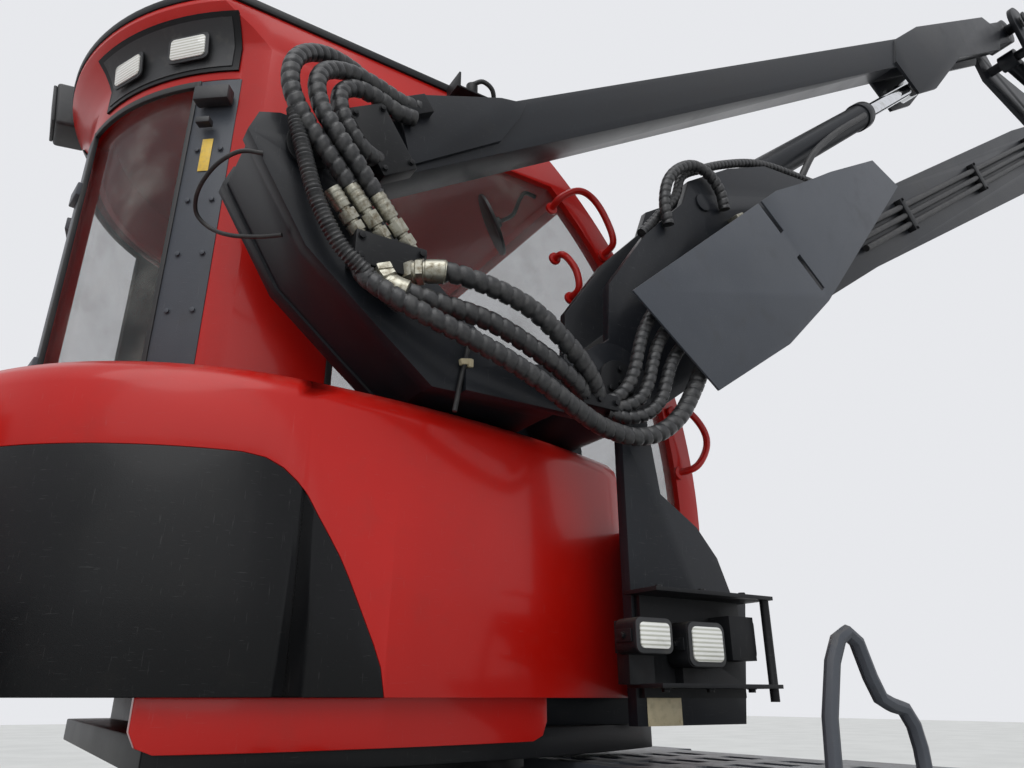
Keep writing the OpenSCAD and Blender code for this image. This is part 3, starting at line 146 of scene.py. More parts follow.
class Field:
    """A number that varies over a surface, with the usual arithmetic."""

    def __init__(self, paint, socket):
        self.paint = paint
        self.socket = socket

    def math(self, operation, first, second):
        return self.paint.node("ShaderNodeMath", {"operation": operation}, {0: first, 1: second})

    def __add__(self, other):
        return self.math("ADD", self, other)

    def __mul__(self, other):
        return self.math("MULTIPLY", self, other)

    def __rsub__(self, other):
        return self.math("SUBTRACT", other, self)

    def wrapped(self):
        return self.math("FRACT", self, 0)

    def ramp(self, low, high):
        """Goes smoothly from 0 to 1 as this goes from low to high."""
        settings = {"clamp": True, "interpolation_type": "SMOOTHSTEP"}
        values = {"From Min": low, "From Max": high, "Value": self}
        return self.paint.node("ShaderNodeMapRange", settings, values)


class Paint:
    """A material with one Principled shader; node() adds any other node."""

    def __init__(self, name, colour, roughness=0.5, **sockets):
        self.material = bpy.data.materials.new(name)
        self.material.use_nodes = True
        self.tree = self.material.node_tree
        self.shader = self.tree.nodes["Principled BSDF"]
        self.set("Base Color", (*colour, 1))
        self.set("Roughness", roughness)
        for socket, value in sockets.items():
            self.set(socket.replace("_", " "), value)

    def set(self, socket, value):
        self.join(self.shader.inputs[socket], value)

    def join(self, target, value):
        if isinstance(value, Field):
            self.tree.links.new(value.socket, target)
        else:
            target.default_value = value

    def node(self, kind, settings, values, output=0):
        made = self.tree.nodes.new(kind)
        for key, value in settings.items():
            setattr(made, key, value)
        for key, value in values.items():
            self.join(made.inputs[key], value)
        return Field(self, made.outputs[output])

    def noise(self, scale, detail=4, roughness=0.55, stretch=(1, 1, 1)):
        """Noise over the object's coordinates, stretched."""
        coordinates = self.node("ShaderNodeTexCoord", {}, {}, "Object")
        place = self.node("ShaderNodeMapping", {}, {"Vector": coordinates, "Scale": stretch})
        values = {"Vector": place, "Scale": scale, "Detail": detail, "Roughness": roughness}
        return self.node("ShaderNodeTexNoise", {}, values)

    def axis(self, number, source="Object"):
        """One of the object's coordinates, or one of the piece's own UV."""
        coordinates = self.node("ShaderNodeTexCoord", {}, {}, source)
        return self.node("ShaderNodeSeparateXYZ", {}, {"Vector": coordinates}, number)

    def cells(self, scale):
        coordinates = self.node("ShaderNodeTexCoord", {}, {}, "Object")
        return self.node("ShaderNodeTexVoronoi", {}, {"Vector": coordinates, "Scale": scale})

    def mix(self, amount, first, second):
        """A colour between two colours."""
        values = {0: amount, 6: self.rgba(first), 7: self.rgba(second)}
        return self.node("ShaderNodeMix", {"data_type": "RGBA"}, values, 2)

    def rgba(self, colour):
        return colour if isinstance(colour, Field) else (*colour, 1)

    def bump(self, height, distance):
        self.set("Normal", self.node("ShaderNodeBump", {}, {"Height": height, "Distance": distance}))


# Finishes

DUST = (0.30, 0.27, 0.22)
GRIME = (0.055, 0.048, 0.038)


def upward(paint):
    """1 on faces that look up, 0 on upright ones."""
    normal = paint.node("ShaderNodeNewGeometry", {}, {}, "Normal")
    return paint.node("ShaderNodeSeparateXYZ", {}, {"Vector": normal}, 2).ramp(0.25, 0.95)


def scratches(paint, scale, amount):
    """Thin streaks in two directions."""
    along = paint.noise(scale, 3, 0.6, (1, 1, 14))
    across = paint.noise(scale * 0.8, 3, 0.6, (12, 12, 1))
    return along.ramp(0.66, 0.70) * amount + across.ramp(0.67, 0.71) * amount


def painted(name, colour, faded, roughness, coat, dust, chips, grain, gloss):
    """Gloss or satin paint with fading, dust, fine scratches and chips."""
    paint = Paint(name, colour, roughness, Coat_Weight=coat, Coat_Roughness=0.12, Specular_IOR_Level=gloss)
    fading = paint.noise(1.7, 5, 0.6).ramp(0.35, 0.7)
    grimy = paint.noise(9, 6, 0.65).ramp(0.50, 0.78) * dust
    settled = upward(paint) * paint.noise(23, 5, 0.7).ramp(0.3, 0.75) * dust * 1.6
    worn = scratches(paint, 26, chips)
    base = paint.mix(fading, colour, faded)
    base = paint.mix(worn * 0.5, base, tuple(0.55 * c + 0.12 for c in colour))
    base = paint.mix(grimy, base, GRIME)
    base = paint.mix(settled, base, DUST)
    paint.set("Base Color", base)
    paint.set("Roughness", grimy * 0.5 + settled * 0.5 + worn * 0.15 + fading * 0.06 + roughness)
    paint.bump(paint.noise(420, 3, 0.5) + worn * 0.4, grain)
    return paint


def stained(name, spots, share, colour, spotted, rough, grain=None, stretch=(1, 1, 1), **sockets):
    """A finish with spots of a second colour; returns its paint and the spots' field.

    spots: the noise's scale, detail and roughness, and the ramp's low and high end
    rough: what the spots add to the roughness, and its least
    grain: the bump's scale, detail and depth in metres
    """
    paint = Paint(name, colour, rough[1], **sockets)
    scale, detail, uneven, low, high = spots
    field = paint.noise(scale, detail, uneven, stretch).ramp(low, high)
    paint.set("Base Color", paint.mix(field * share, colour, spotted))
    if rough[0]:
        paint.set("Roughness", field * rough[0] + rough[1])
    if grain:
        scale, detail, depth = grain
        paint.bump(paint.noise(scale, detail), depth)
    return paint, field


def make_lens(name, colour, ribs):
    """A coloured lamp lens, with its count of ribs in a metre."""
    paint = Paint(name, colour, 0.15, Coat_Weight=0.7)
    paint.bump((paint.axis(2) * ribs).wrapped(), 0.001)
    return paint


# Paints: key, name, colour, faded colour, roughness, coat, dust, chips, grain in metres, gloss
PAINTS = [
    ("red", "red_gloss", (0.46, 0.006, 0.003), (0.50, 0.010, 0.006), 0.30, 0.30, 0.10, 0.3, 0.00012, 0.22),
    ("graphite", "graphite_satin", (0.0055, 0.0065, 0.009), (0.010, 0.012, 0.016),
     0.40, 0.06, 0.10, 0.35, 0.0002, 0.25),
    ("black", "black_satin", (0.0045, 0.005, 0.006), (0.008, 0.0085, 0.010),
     0.45, 0.04, 0.10, 0.35, 0.0002, 0.22),
    ("insert", "insert_black", (0.003, 0.0033, 0.004), (0.006, 0.0063, 0.0075),
     0.34, 0.05, 0.05, 0.3, 0.0002, 0.2),
    ("plate_grey", "sheet_grey", (0.050, 0.056, 0.068), (0.068, 0.074, 0.086),
     0.46, 0.05, 0.2, 0.4, 0.0006, 0.3),
    ("rim_red", "rim_red", (0.36, 0.014, 0.014), (0.30, 0.02, 0.018), 0.42, 0.25, 0.6, 0.6, 0.0002, 0.3),
]


def make_finishes():
    made = {key: painted(*values) for key, *values in PAINTS}
    made["chrome"], _ = stained(
        "chrome_rod", (14, 5, 0.6, 0.45, 0.8), 0.5, (0.74, 0.75, 0.77), (0.42, 0.40, 0.36), (0.22, 0.07),
        stretch=(1, 1, 4), Metallic=1.0)
    made["steel"], rust = stained(
        "worn_steel", (16, 6, 0.7, 0.48, 0.72), 1, (0.36, 0.35, 0.34), (0.16, 0.085, 0.045), (0.35, 0.32),
        (180, 4, 0.0006))
    made["steel"].set("Metallic", 0.95 - rust * 0.6)
    made["zinc"], _ = stained(
        "plated_fitting", (60, 5, 0.7, 0.4, 0.75), 1, (0.38, 0.37, 0.31), (0.15, 0.12, 0.075), (0.3, 0.30),
        Metallic=0.85)
    made["rubber"], _ = stained(
        "black_rubber", (12, 6, 0.7, 0.45, 0.8), 0.45, (0.014, 0.014, 0.015), (0.075, 0.070, 0.062),
        (0.2, 0.55), (300, 4, 0.0004))
    made["wrap"], _ = stained(
        "spiral_wrap", (35, 6, 0.7, 0.4, 0.75), 0.6, (0.014, 0.0145, 0.016), (0.070, 0.068, 0.066),
        (0.25, 0.34), (240, 5, 0.0005))
    made["cream"], _ = stained(
        "blank_plate", (50, 5, 0.55, 0.4, 0.8), 1, (0.56, 0.48, 0.31), (0.40, 0.34, 0.22), (0, 0.42))
    made["yellow"], _ = stained(
        "blank_label", (60, 5, 0.55, 0.4, 0.8), 1, (0.76, 0.50, 0.06), (0.55, 0.38, 0.10), (0, 0.45))
    made["glass"], film = stained(
        "clear_glass", (3.2, 6, 0.65, 0.45, 0.8), 1, (0.06, 0.075, 0.075), (0.42, 0.42, 0.38),
        (0.25, 0.02), IOR=1.5)
    made["glass"].set("Alpha", film * 0.14 + 0.20)
    hose, _ = stained(
        "hose_rubber", (30, 5, 0.55, 0.4, 0.8), 0.5, (0.014, 0.014, 0.015), (0.06, 0.058, 0.052), (0, 0.5))
    braid = hose.axis(1, "UV") * 260 + hose.axis(0, "UV") * 8
    hose.bump(braid.wrapped().ramp(0.0, 0.5) * 0.5 + hose.noise(260, 3), 0.0004)
    plastic, _ = stained(
        "moulded_plastic", (20, 5, 0.55, 0.5, 0.8), 0.5, (0.018, 0.019, 0.021), (0.07, 0.067, 0.06), (0, 0.5))
    plastic.bump(plastic.cells(700), 0.0003)

    tyre = Paint("tyre_rubber", (0.018, 0.018, 0.018), 0.75)
    mud = tyre.noise(5, 8, 0.7).ramp(0.42, 0.75)
    fine = tyre.noise(60, 6, 0.75).ramp(0.35, 0.7)
    tyre.set("Base Color", tyre.mix(mud * 0.75 * fine, (0.019, 0.019, 0.019), (0.15, 0.115, 0.08)))
    tyre.set("Roughness", mud * 0.2 + 0.68)
    tyre.bump(fine + tyre.noise(300, 3) * 0.4, 0.0015)

    lens = Paint("lamp_lens", (0.80, 0.80, 0.74), 0.12, Coat_Weight=0.6)
    ribs = (lens.axis(2) * 95).wrapped()
    lens.set("Base Color", lens.mix(ribs.ramp(0.3, 0.6), (0.66, 0.66, 0.58), (0.84, 0.84, 0.80)))
    lens.bump(ribs.ramp(0.0, 0.5), 0.0015)

    cloth = Paint("seat_cloth", (0.05, 0.052, 0.058), 0.9, Sheen_Weight=0.4)
    weave = (cloth.axis(0) * 420).wrapped().ramp(0.2, 0.5) + (cloth.axis(1) * 420).wrapped().ramp(0.2, 0.5)
    cloth.set("Base Color", cloth.mix(weave * 0.5, (0.035, 0.036, 0.041), (0.075, 0.078, 0.085)))
    cloth.bump(weave, 0.0006)

    made.update(
        hose=hose, plastic=plastic, tyre=tyre, lens=lens, cloth=cloth,
        red_lens=make_lens("red_lens", (0.55, 0.01, 0.01), 80),
        amber=make_lens("amber_lens", (0.85, 0.30, 0.02), 60),
    )
    return {key: paint.material for key, paint in made.items()}


# Stage, light and world

# Suns: name, direction, strength, spread in degrees
SUNS = [
    ("key", (0.45, 0.55, -1.0), 1.3, 50),
    ("fill", (0.5, 1.0, -0.25), 0.5, 60),
    ("back", (-0.6, -0.9, -0.5), 0.4, 60),
]
FLOOR_HALF = 60
SKY_LIGHT = (0.52, 0.54, 0.57, 1)
SKY_SEEN = (0.80, 0.81, 0.84, 1)


def make_floor():
    data = bpy.data.meshes.new("floor")
    bm = bmesh.new()
    bmesh.ops.create_grid(bm, x_segments=1, y_segments=1, size=FLOOR_HALF)
    bm.to_mesh(data)
    bm.free()
    floor_object = bpy.data.objects.new("floor", data)
    bpy.context.scene.collection.objects.link(floor_object)
    paint = Paint("pale_floor", (0.62, 0.62, 0.60), 0.9)
    patches = paint.noise(0.6, 4).ramp(0.3, 0.7)
    paint.set("Base Color", paint.mix(patches, (0.60, 0.60, 0.58), (0.66, 0.66, 0.64)))
    data.materials.append(paint.material)


def make_world():
    """An even sky that is brighter where it is seen or mirrored than as a light."""
    world = bpy.data.worlds.new("studio")
    bpy.context.scene.world = world
    world.use_nodes = True
    tree = world.node_tree
    rays = tree.nodes.new("ShaderNodeLightPath")
    shown = rays.outputs["Is Camera Ray"]
    for ray in ("Is Transmission Ray", "Is Glossy Ray"):
        either = tree.nodes.new("ShaderNodeMath")
        either.operation = "MAXIMUM"
        tree.links.new(shown, either.inputs[0])
        tree.links.new(rays.outputs[ray], either.inputs[1])
        shown = either.outputs[0]
    colour = tree.nodes.new("ShaderNodeMix")
    colour.data_type = "RGBA"
    colour.inputs[6].default_value = SKY_LIGHT
    colour.inputs[7].default_value = SKY_SEEN
    tree.links.new(shown, colour.inputs[0])
    tree.links.new(colour.outputs[2], tree.nodes["Background"].inputs["Color"])


def make_suns():
    for name, aim, energy, spread in SUNS:
        sun = bpy.data.lights.new(name, "SUN")
        sun.energy = energy
        sun.angle = radians(spread)
        lamp = bpy.data.objects.new(name, sun)
        lamp.matrix_world = Vector(aim).to_track_quat("-Z", "Y").to_matrix().to_4x4()
        bpy.context.scene.collection.objects.link(lamp)


# Modelling helpers

FINISH = {}
SMOOTH_BELOW = radians(38)


class Shape:
    """Solids gathered in one bmesh; keep() makes them one piece on one body."""

    def __init__(self):
        self.bm = bmesh.new()

    def box(self, size, place, bevel=0.003, turn=None, segments=2):
        made = bmesh.ops.create_cube(self.bm, size=1)
        verts = made["verts"]
        bmesh.ops.scale(self.bm, vec=size, verts=verts)
        if bevel:
            verts = self.round_edges(verts, bevel, segments)
        self.put(verts, place, turn)

    def round_edges(self, verts, width, segments=2, above=radians(25)):
        edges = {e for v in verts for e in v.link_edges if e.calc_face_angle(0) > above}
        made = bmesh.ops.bevel(
            self.bm, geom=list(edges), offset=width, offset_type="OFFSET", segments=segments,
            profile=0.5, affect="EDGES", clamp_overlap=True, material=-1,
        )
        faces = {f for v in made["verts"] if v.is_valid for f in v.link_faces}
        reached = set(v for v in verts if v.is_valid) | set(v for f in faces for v in f.verts)
        return list(reached)

    def put(self, verts, place, turn=None):
        move = Matrix.Translation(place)
        if turn is not None:
            move = move @ turn.to_4x4()
        bmesh.ops.transform(self.bm, matrix=move, verts=verts)

    def rod(self, start, end, r, r_end=None, sides=20, bevel=0.0):
        """A round bar or cone between two places."""
        step = end - start
        made = bmesh.ops.create_cone(
            self.bm, cap_ends=True, segments=sides, radius1=r, radius2=r if r_end is None else r_end,
            depth=step.length,
        )
        verts = made["verts"]
        if bevel:
            verts = self.round_edges(verts, bevel, 2, radians(50))
        self.put(verts, (start + end) / 2, step.to_track_quat("Z", "Y").to_matrix())

    def slab(self, outline, thick, frame_matrix, bevel=0.002):
        """A flat outline in X and Y given a thickness along Z, then placed."""
        corners = [self.bm.verts.new((x, y, -thick / 2)) for x, y in outline]
        face = self.bm.faces.new(corners)
        made = bmesh.ops.extrude_face_region(self.bm, geom=[face])
        raised = [v for v in made["geom"] if isinstance(v, bmesh.types.BMVert)]
        bmesh.ops.translate(self.bm, vec=(0, 0, thick), verts=raised)
        verts = corners + raised
        bmesh.ops.recalc_face_normals(self.bm, faces=list({f for v in verts for f in v.link_faces}))
        if bevel:
            verts = self.round_edges(verts, bevel)
        bmesh.ops.transform(self.bm, matrix=frame_matrix, verts=verts)

    def bolt(self, place, axis, size=0.012):
        """A hexagon head on a washer; axis points out of the surface."""
        axis = Vector(axis).normalized()
        self.rod(place, place + axis * size * 0.22, size * 1.25, sides=20)
        self.rod(place + axis * size * 0.2, place + axis * size * 0.95, size, sides=6, bevel=size * 0.08)

    def bolts(self, places, axis, size):
        for place in places:
            self.bolt(place, axis, size)

    def tube(self, route, r, sides=12, step=0.02, relief=None):
        """A swept round bar; relief(distance, turn) adds to its radius."""
        line = sampled(route, step)
        frames = carried(line)
        rings = len(line) - 1
        made = bmesh.ops.create_grid(self.bm, x_segments=sides, y_segments=rings, size=0.5, calc_uvs=False)
        uv = self.bm.loops.layers.uv.verify()
        travelled = [0.0]
        for a, b in zip(line, line[1:]):
            travelled.append(travelled[-1] + (b - a).length)
        spots = {}
        for v in made["verts"]:
            spots[v] = (v.co.x + 0.5, round((v.co.y + 0.5) * rings))
        for v, (turn, i) in spots.items():
            grown = r + (relief(travelled[i], turn) if relief else 0)
            side, up = frames[i]
            v.co = line[i] + side * cos(2 * pi * turn) * grown + up * sin(2 * pi * turn) * grown
        for f in {f for v in spots for f in v.link_faces}:
            for loop in f.loops:
                turn, i = spots[loop.vert]
                loop[uv].uv = (turn, travelled[i])
        seam = [v for v, (turn, i) in spots.items() if turn < 0.001 or turn > 0.999]
        bmesh.ops.remove_doubles(self.bm, verts=seam, dist=r * 0.02)
        verts = [v for v in spots if v.is_valid]
        open_edges = list({e for v in verts for e in v.link_edges if e.is_boundary})
        bmesh.ops.holes_fill(self.bm, edges=open_edges, sides=0)
        bmesh.ops.recalc_face_normals(self.bm, faces=list({f for v in verts for f in v.link_faces}))
        return line

    def lathe(self, profile, place, axis, sides):
        """A closed profile of (radius, height) turned about an axis; the first solid of its shape."""
        verts = [self.bm.verts.new((r, 0, z)) for r, z in profile]
        edges = [self.bm.edges.new(pair) for pair in zip(verts, verts[1:] + verts[:1])]
        bmesh.ops.spin(
            self.bm, geom=verts + edges, cent=(0, 0, 0), axis=(0, 0, 1), angle=2 * pi, steps=sides,
            use_merge=True,
        )
        bmesh.ops.remove_doubles(self.bm, verts=list(self.bm.verts), dist=1e-6)
        bmesh.ops.recalc_face_normals(self.bm, faces=list(self.bm.faces))
        self.put(list(self.bm.verts), place, Vector(axis).to_track_quat("Z", "Y").to_matrix())

    def loft(self, rings):
        """A closed solid through rings with the same number of corners."""
        rows = [[self.bm.verts.new(corner) for corner in ring] for ring in rings]
        faces = [self.bm.faces.new(rows[0]), self.bm.faces.new(rows[-1][::-1])]
        count = len(rows[0])
        for a, b in zip(rows, rows[1:]):
            for i in range(count):
                j = (i + 1) % count
                faces.append(self.bm.faces.new((a[j], a[i], b[i], b[j])))
        bmesh.ops.recalc_face_normals(self.bm, faces=faces)

    def keep(self, name, body, finish, smooth=SMOOTH_BELOW, replaces=()):
        data = bpy.data.meshes.new(name)
        self.bm.to_mesh(data)
        self.bm.free()
        data.shade_smooth()
        data.set_sharp_from_angle(angle=smooth)
        data.materials.append(FINISH[finish])
        piece = bpy.data.objects.new(name, data)
        bpy.context.scene.collection.objects.link(piece)
        if body:
            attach(piece, body)
        if replaces:
            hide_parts(*replaces)
        return piece


def sampled(route, step):
    """Points at even distances on a smooth curve through the route."""
    points = [Vector(p) for p in route]
    if len(points) > 2:
        ends = [2 * points[0] - points[1]] + points + [2 * points[-1] - points[-2]]
        fine = []
        for a, b, c, d in zip(ends, ends[1:], ends[2:], ends[3:]):
            for k in range(12):
                t = k / 12
                fine.append(0.5 * (2 * b + (c - a) * t + (2 * a - 5 * b + 4 * c - d) * t * t
                                   + (3 * b - 3 * c + d - a) * t ** 3))
        points = fine + [points[-1]]
    lengths = [0.0]
    for a, b in zip(points, points[1:]):
        lengths.append(lengths[-1] + (b - a).length)
    count = max(1, round(lengths[-1] / step))
    line = []
    k = 0
    for i in range(count + 1):
        want = lengths[-1] * i / count
        while k < len(lengths) - 2 and lengths[k + 1] < want:
            k += 1
        span = lengths[k + 1] - lengths[k]
        share = (want - lengths[k]) / span if span else 0
        line.append(points[k].lerp(points[k + 1], min(1, share)))
    return line


def carried(line):
    """Two directions square to the line at each point, turning as little as possible."""
    frames = []
    side = None
    for i in range(len(line)):
        ahead = (line[min(i + 1, len(line) - 1)] - line[max(i - 1, 0)]).normalized()
        if side is None:
            side = ahead.orthogonal().normalized()
        side = (side - ahead * side.dot(ahead)).normalized()
        frames.append((side, ahead.cross(side)))
    return frames


def facing(origin, x_axis, z_axis):
    """A placing matrix with its X and Z axes along two directions."""
    z = Vector(z_axis).normalized()
    x = Vector(x_axis)
    x = (x - z * x.dot(z)).normalized()
    y = z.cross(x)
    turn = Matrix((x, y, z)).transposed().to_4x4()
    return Matrix.Translation(Vector(origin)) @ turn


# CAD nodes: finish, edge rounding in metres, names
NODE_LOOKS = [
    ("black", 0.015, "cab_roof"),
    ("black", 0.006, "front_frame front_axle rear_frame"),
    ("black", 0.004, "rear_axle turntable rotator"),
    ("black", 0.003, "feed_arm_l feed_arm_r steer_seats steer_brackets"),
    ("black", 0.002, "steer_barrel_l steer_barrel_r lamp_shelf"),
    ("graphite", 0.003, "crane_pillar main_boom lift_barrel tension_link rocker stick_barrel"),
    ("graphite", 0.003, "outer_boom swing_link"),
    ("graphite", 0.002, "extension"),
    ("plate_grey", 0.002, "front_decks rear_decks hose_guard"),
    ("red", 0.012, "engine_hood"),
    ("red", 0.006, "cab_frame cab_door"),
    ("red", 0.004, "tail_cover head_bracket head_frame"),
    ("rim_red", 0.003, "front_rim_l1 front_rim_l2 front_rim_r1 front_rim_r2 rear_rim_l rear_rim_r"),
    ("tyre", 0, "front_tyre_l1 front_tyre_l2 front_tyre_r1 front_tyre_r2 rear_tyre_l rear_tyre_r"),
    ("insert", 0.003, "tail_panels"),
    ("plastic", 0.020, "cab_seat"),
    ("plastic", 0.002, "hood_grille"),
    ("glass", 0, "cab_glass door_glass"),
    ("rubber", 0, "pillar_hoses"),
    ("steel", 0.010, "engine"),
    ("steel", 0.002, "feed_roller_l feed_roller_r knife_l knife_r"),
    ("steel", 0.001, "saw_bar"),
    ("chrome", 0.001, "steer_rod_l steer_rod_r lift_rod stick_rod"),
]
WELD_WITHIN = 0.00001
FLAT_WITHIN = radians(0.5)


def smooth_group():
    """A node group that shades faces smooth and keeps sharp edges."""
    group = bpy.data.node_groups.new("smooth_by_angle", "GeometryNodeTree")
    group.interface.new_socket("Geometry", in_out="INPUT", socket_type="NodeSocketGeometry")
    group.interface.new_socket("Geometry", in_out="OUTPUT", socket_type="NodeSocketGeometry")
    source = group.nodes.new("NodeGroupInput")
    result = group.nodes.new("NodeGroupOutput")
    faces = group.nodes.new("GeometryNodeSetShadeSmooth")
    faces.domain = "FACE"
    edges = group.nodes.new("GeometryNodeSetShadeSmooth")
    edges.domain = "EDGE"
    edges.inputs["Shade Smooth"].default_value = False
    angle = group.nodes.new("GeometryNodeInputMeshEdgeAngle")
    sharp = group.nodes.new("FunctionNodeCompare")
    sharp.data_type = "FLOAT"
    sharp.operation = "GREATER_THAN"
    sharp.inputs[1].default_value = SMOOTH_BELOW
    links = group.links
    links.new(source.outputs[0], faces.inputs["Geometry"])
    links.new(faces.outputs[0], edges.inputs["Geometry"])
    links.new(angle.outputs["Unsigned Angle"], sharp.inputs[0])
    links.new(sharp.outputs[0], edges.inputs["Selection"])
    links.new(edges.outputs[0], result.inputs[0])
    return group


def dress_nodes():
    group = smooth_group()
    looks = {name: (finish, rounding) for finish, rounding, names in NODE_LOOKS for name in names.split()}
    for name, node in frame["nodes"].items():
        finish, rounding = looks[name]
        node.data.materials.clear()
        node.data.materials.append(FINISH[finish])
        weld = node.modifiers.new("weld", "WELD")
        weld.merge_threshold = WELD_WITHIN
        flat = node.modifiers.new("flat", "DECIMATE")
        flat.decimate_type = "DISSOLVE"
        flat.angle_limit = FLAT_WITHIN
        if rounding:
            bevel = node.modifiers.new("edge", "BEVEL")
            bevel.width = rounding
            bevel.segments = 2
            bevel.limit_method = "ANGLE"
            bevel.angle_limit = SMOOTH_BELOW
        smooth = node.modifiers.new("smooth", "NODES")
        smooth.node_group = group


# Hoses and their couplings

WRAP_PITCH = 1.35
WRAP_GAP = 0.24
WRAP_DEPTH = 0.18


def spiral(pitch, depth):
    """Relief of a flat band wound round a hose with a narrow gap between its turns."""
    def relief(distance, turn):
        phase = (distance / pitch - turn) % 1.0
        edge = min(phase, 1.0 - phase)
        return -depth if edge < WRAP_GAP / 2 else -depth * 0.25 * (2 * abs(phase - 0.5)) ** 4
    return relief


def corrugated(pitch, depth):
    """Relief of round ribs."""
    def relief(distance, turn):
        return -depth * (0.5 + 0.5 * cos(2 * pi * distance / pitch))
    return relief


def lay_cord(line):
    """Measures the length along a line; nothing uses the length."""
    long = sum((b - a).length for a, b in zip(line, line[1:]))


def make_hose(name, body, route, r, wrapped=True, step=None):
    """A hose on one body; where body is a first and a second one, a start and an end, the hose is put on no
    body.
    """
    shape = Shape()
    if wrapped:
        pitch = r * WRAP_PITCH
        line = shape.tube(route, r, 20, pitch / 8, spiral(pitch, r * WRAP_DEPTH))
    else:
        line = shape.tube(route, r, 14, step or r)
    rides = isinstance(body, str)
    piece = shape.keep(name, body if rides else None, "wrap" if wrapped else "hose", radians(50))
    lay_cord(line)
    if not rides:
        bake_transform(piece)
    return piece


# Hoses from the bulkhead to the clamp, on the source's routes: x, out from the arm's face, z

HOSE_R = 0.026
PILLAR_ROUTES = [
    [(-0.440, 0.034, 2.570), (-0.418, 0.060, 2.520), (-0.330, 0.095, 2.490), (-0.170, 0.110, 2.470),
     (-0.020, 0.115, 2.415), (0.090, 0.100, 2.370), (0.160, 0.058, 2.344)],
    [(-0.372, 0.034, 2.575), (-0.350, 0.062, 2.580), (-0.260, 0.110, 2.575), (-0.080, 0.130, 2.535),
     (0.060, 0.125, 2.455), (0.150, 0.100, 2.390), (0.206, 0.058, 2.344)],
]
# A coupling's parts: start and end along it, radius as a share of COUPLING_R, sides
COUPLING = [
    (0.00, 0.42, 1.12, 20), (0.06, 0.11, 1.20, 20), (0.16, 0.21, 1.20, 20), (0.26, 0.31, 1.20, 20),
    (0.40, 0.50, 0.80, 20), (0.48, 0.70, 1.30, 6), (0.70, 0.76, 0.85, 20), (0.75, 0.93, 1.22, 6),
    (0.92, 1.00, 0.90, 20),
]
COUPLING_R = 0.0185
# Steps on a hose's end: how far they reach and what they add to the radius, in metres; None is a nut
HOSE_END = [(0.004, 0.0), (0.026, None), (0.031, 0.001), (0.049, None), (0.056, 0.0), (0.102, 0.003)]
HOSE_END_R = 0.0275
NUT_HALF = 0.030
NUT_BASE = 0.0265


def coupling(shape, start, end):
    """A crimped ferrule, a swivel nut and an adapter between two places."""
    for low, high, share, sides in COUPLING:
        bevel = 0.0015 if sides == 6 else 0.001
        shape.rod(start.lerp(end, low), start.lerp(end, high), COUPLING_R * share, sides=sides, bevel=bevel)


def stepped(distance, turn):
    """Relief of two hexagonal nuts, an adapter and a ferrule along a hose's end."""
    for reach, extra in HOSE_END:
        if distance < reach:
            return NUT_HALF / cos((turn * 6 % 1 - 0.5) * pi / 3) - NUT_BASE if extra is None else extra
    return 0.0


def make_pillar_hoses():
    block = Shape()
    block.box((0.190, 0.062, 0.090), at(-0.425, ARM_FACE_Y - 0.031, 2.605), 0.004)
    block.box((0.120, 0.066, 0.044), at(0.190, PLATE_FACE_Y - 0.033, 2.342), 0.004)
    block.bolts([at(x, ARM_FACE_Y - 0.061, z) for x in (-0.505, -0.345) for z in (2.578, 2.632)], SIDE, 0.009)
    block.bolts([at(x, PLATE_FACE_Y - 0.065, 2.342) for x in (0.140, 0.183, 0.240)], SIDE, 0.009)
    block.keep("hose_bulkhead_and_clamp", "upper", "black", replaces=["pillar_hoses"])
    fittings = Shape()
    for number, route in enumerate(PILLAR_ROUTES, 1):
        places = [at(x, ARM_FACE_Y - out, z) for x, out, z in route]
        piece = make_hose(f"pillar_hose_{number}", "upper", places, HOSE_R)
        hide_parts("pillar_hoses")
        fittings.tube(sampled(places, 0.004)[:27], HOSE_END_R, 24, 0.002, stepped)
    for x, lift in ((-0.36, 0.115), (-0.43, 0.115), (-0.50, 0.09)):
        coupling(fittings, at(x - lift, -1.055, 2.650 + lift), at(x, -1.036, 2.650))
    fittings.keep("hose_couplings", "upper", "zinc")


# Hoses and conduit that loop over the pillar's pin
LOOP_R = 0.0235
LOOPS = {
    "loop_hose_outer": [
        (-0.545, -1.055, 2.765), (-0.615, -1.065, 2.835), (-0.675, -1.065, 2.905), (-0.712, -1.06, 2.975),
        (-0.720, -1.05, 3.05), (-0.700, -1.03, 3.12), (-0.655, -1.00, 3.18), (-0.595, -0.97, 3.218),
        (-0.520, -0.94, 3.232), (-0.440, -0.915, 3.215), (-0.345, -0.895, 3.190)],
    "loop_hose_middle": [
        (-0.475, -1.055, 2.765), (-0.545, -1.07, 2.835), (-0.600, -1.07, 2.90), (-0.638, -1.06, 2.965),
        (-0.652, -1.05, 3.035), (-0.635, -1.03, 3.10), (-0.590, -1.005, 3.15), (-0.530, -0.985, 3.178),
        (-0.460, -0.970, 3.183), (-0.390, -0.957, 3.178), (-0.330, -0.950, 3.185)],
    "loop_hose_inner": [
        (-0.425, -0.950, 2.965), (-0.462, -0.985, 2.930), (-0.515, -1.015, 2.928), (-0.560, -1.025, 2.972),
        (-0.582, -1.020, 3.035), (-0.570, -1.005, 3.09), (-0.525, -0.99, 3.13), (-0.465, -0.98, 3.135),
        (-0.400, -0.970, 3.125), (-0.345, -0.960, 3.135)],
}
CONDUIT = [
    (-0.700, -1.055, 2.93), (-0.690, -1.060, 2.88), (-0.672, -1.065, 2.82), (-0.655, -1.068, 2.765),
    (-0.628, -1.068, 2.695), (-0.595, -1.068, 2.635), (-0.552, -1.066, 2.580), (-0.490, -1.066, 2.535),
    (-0.430, -1.045, 2.505), (-0.380, -1.030, 2.490),
]
CONDUIT_R = 0.021
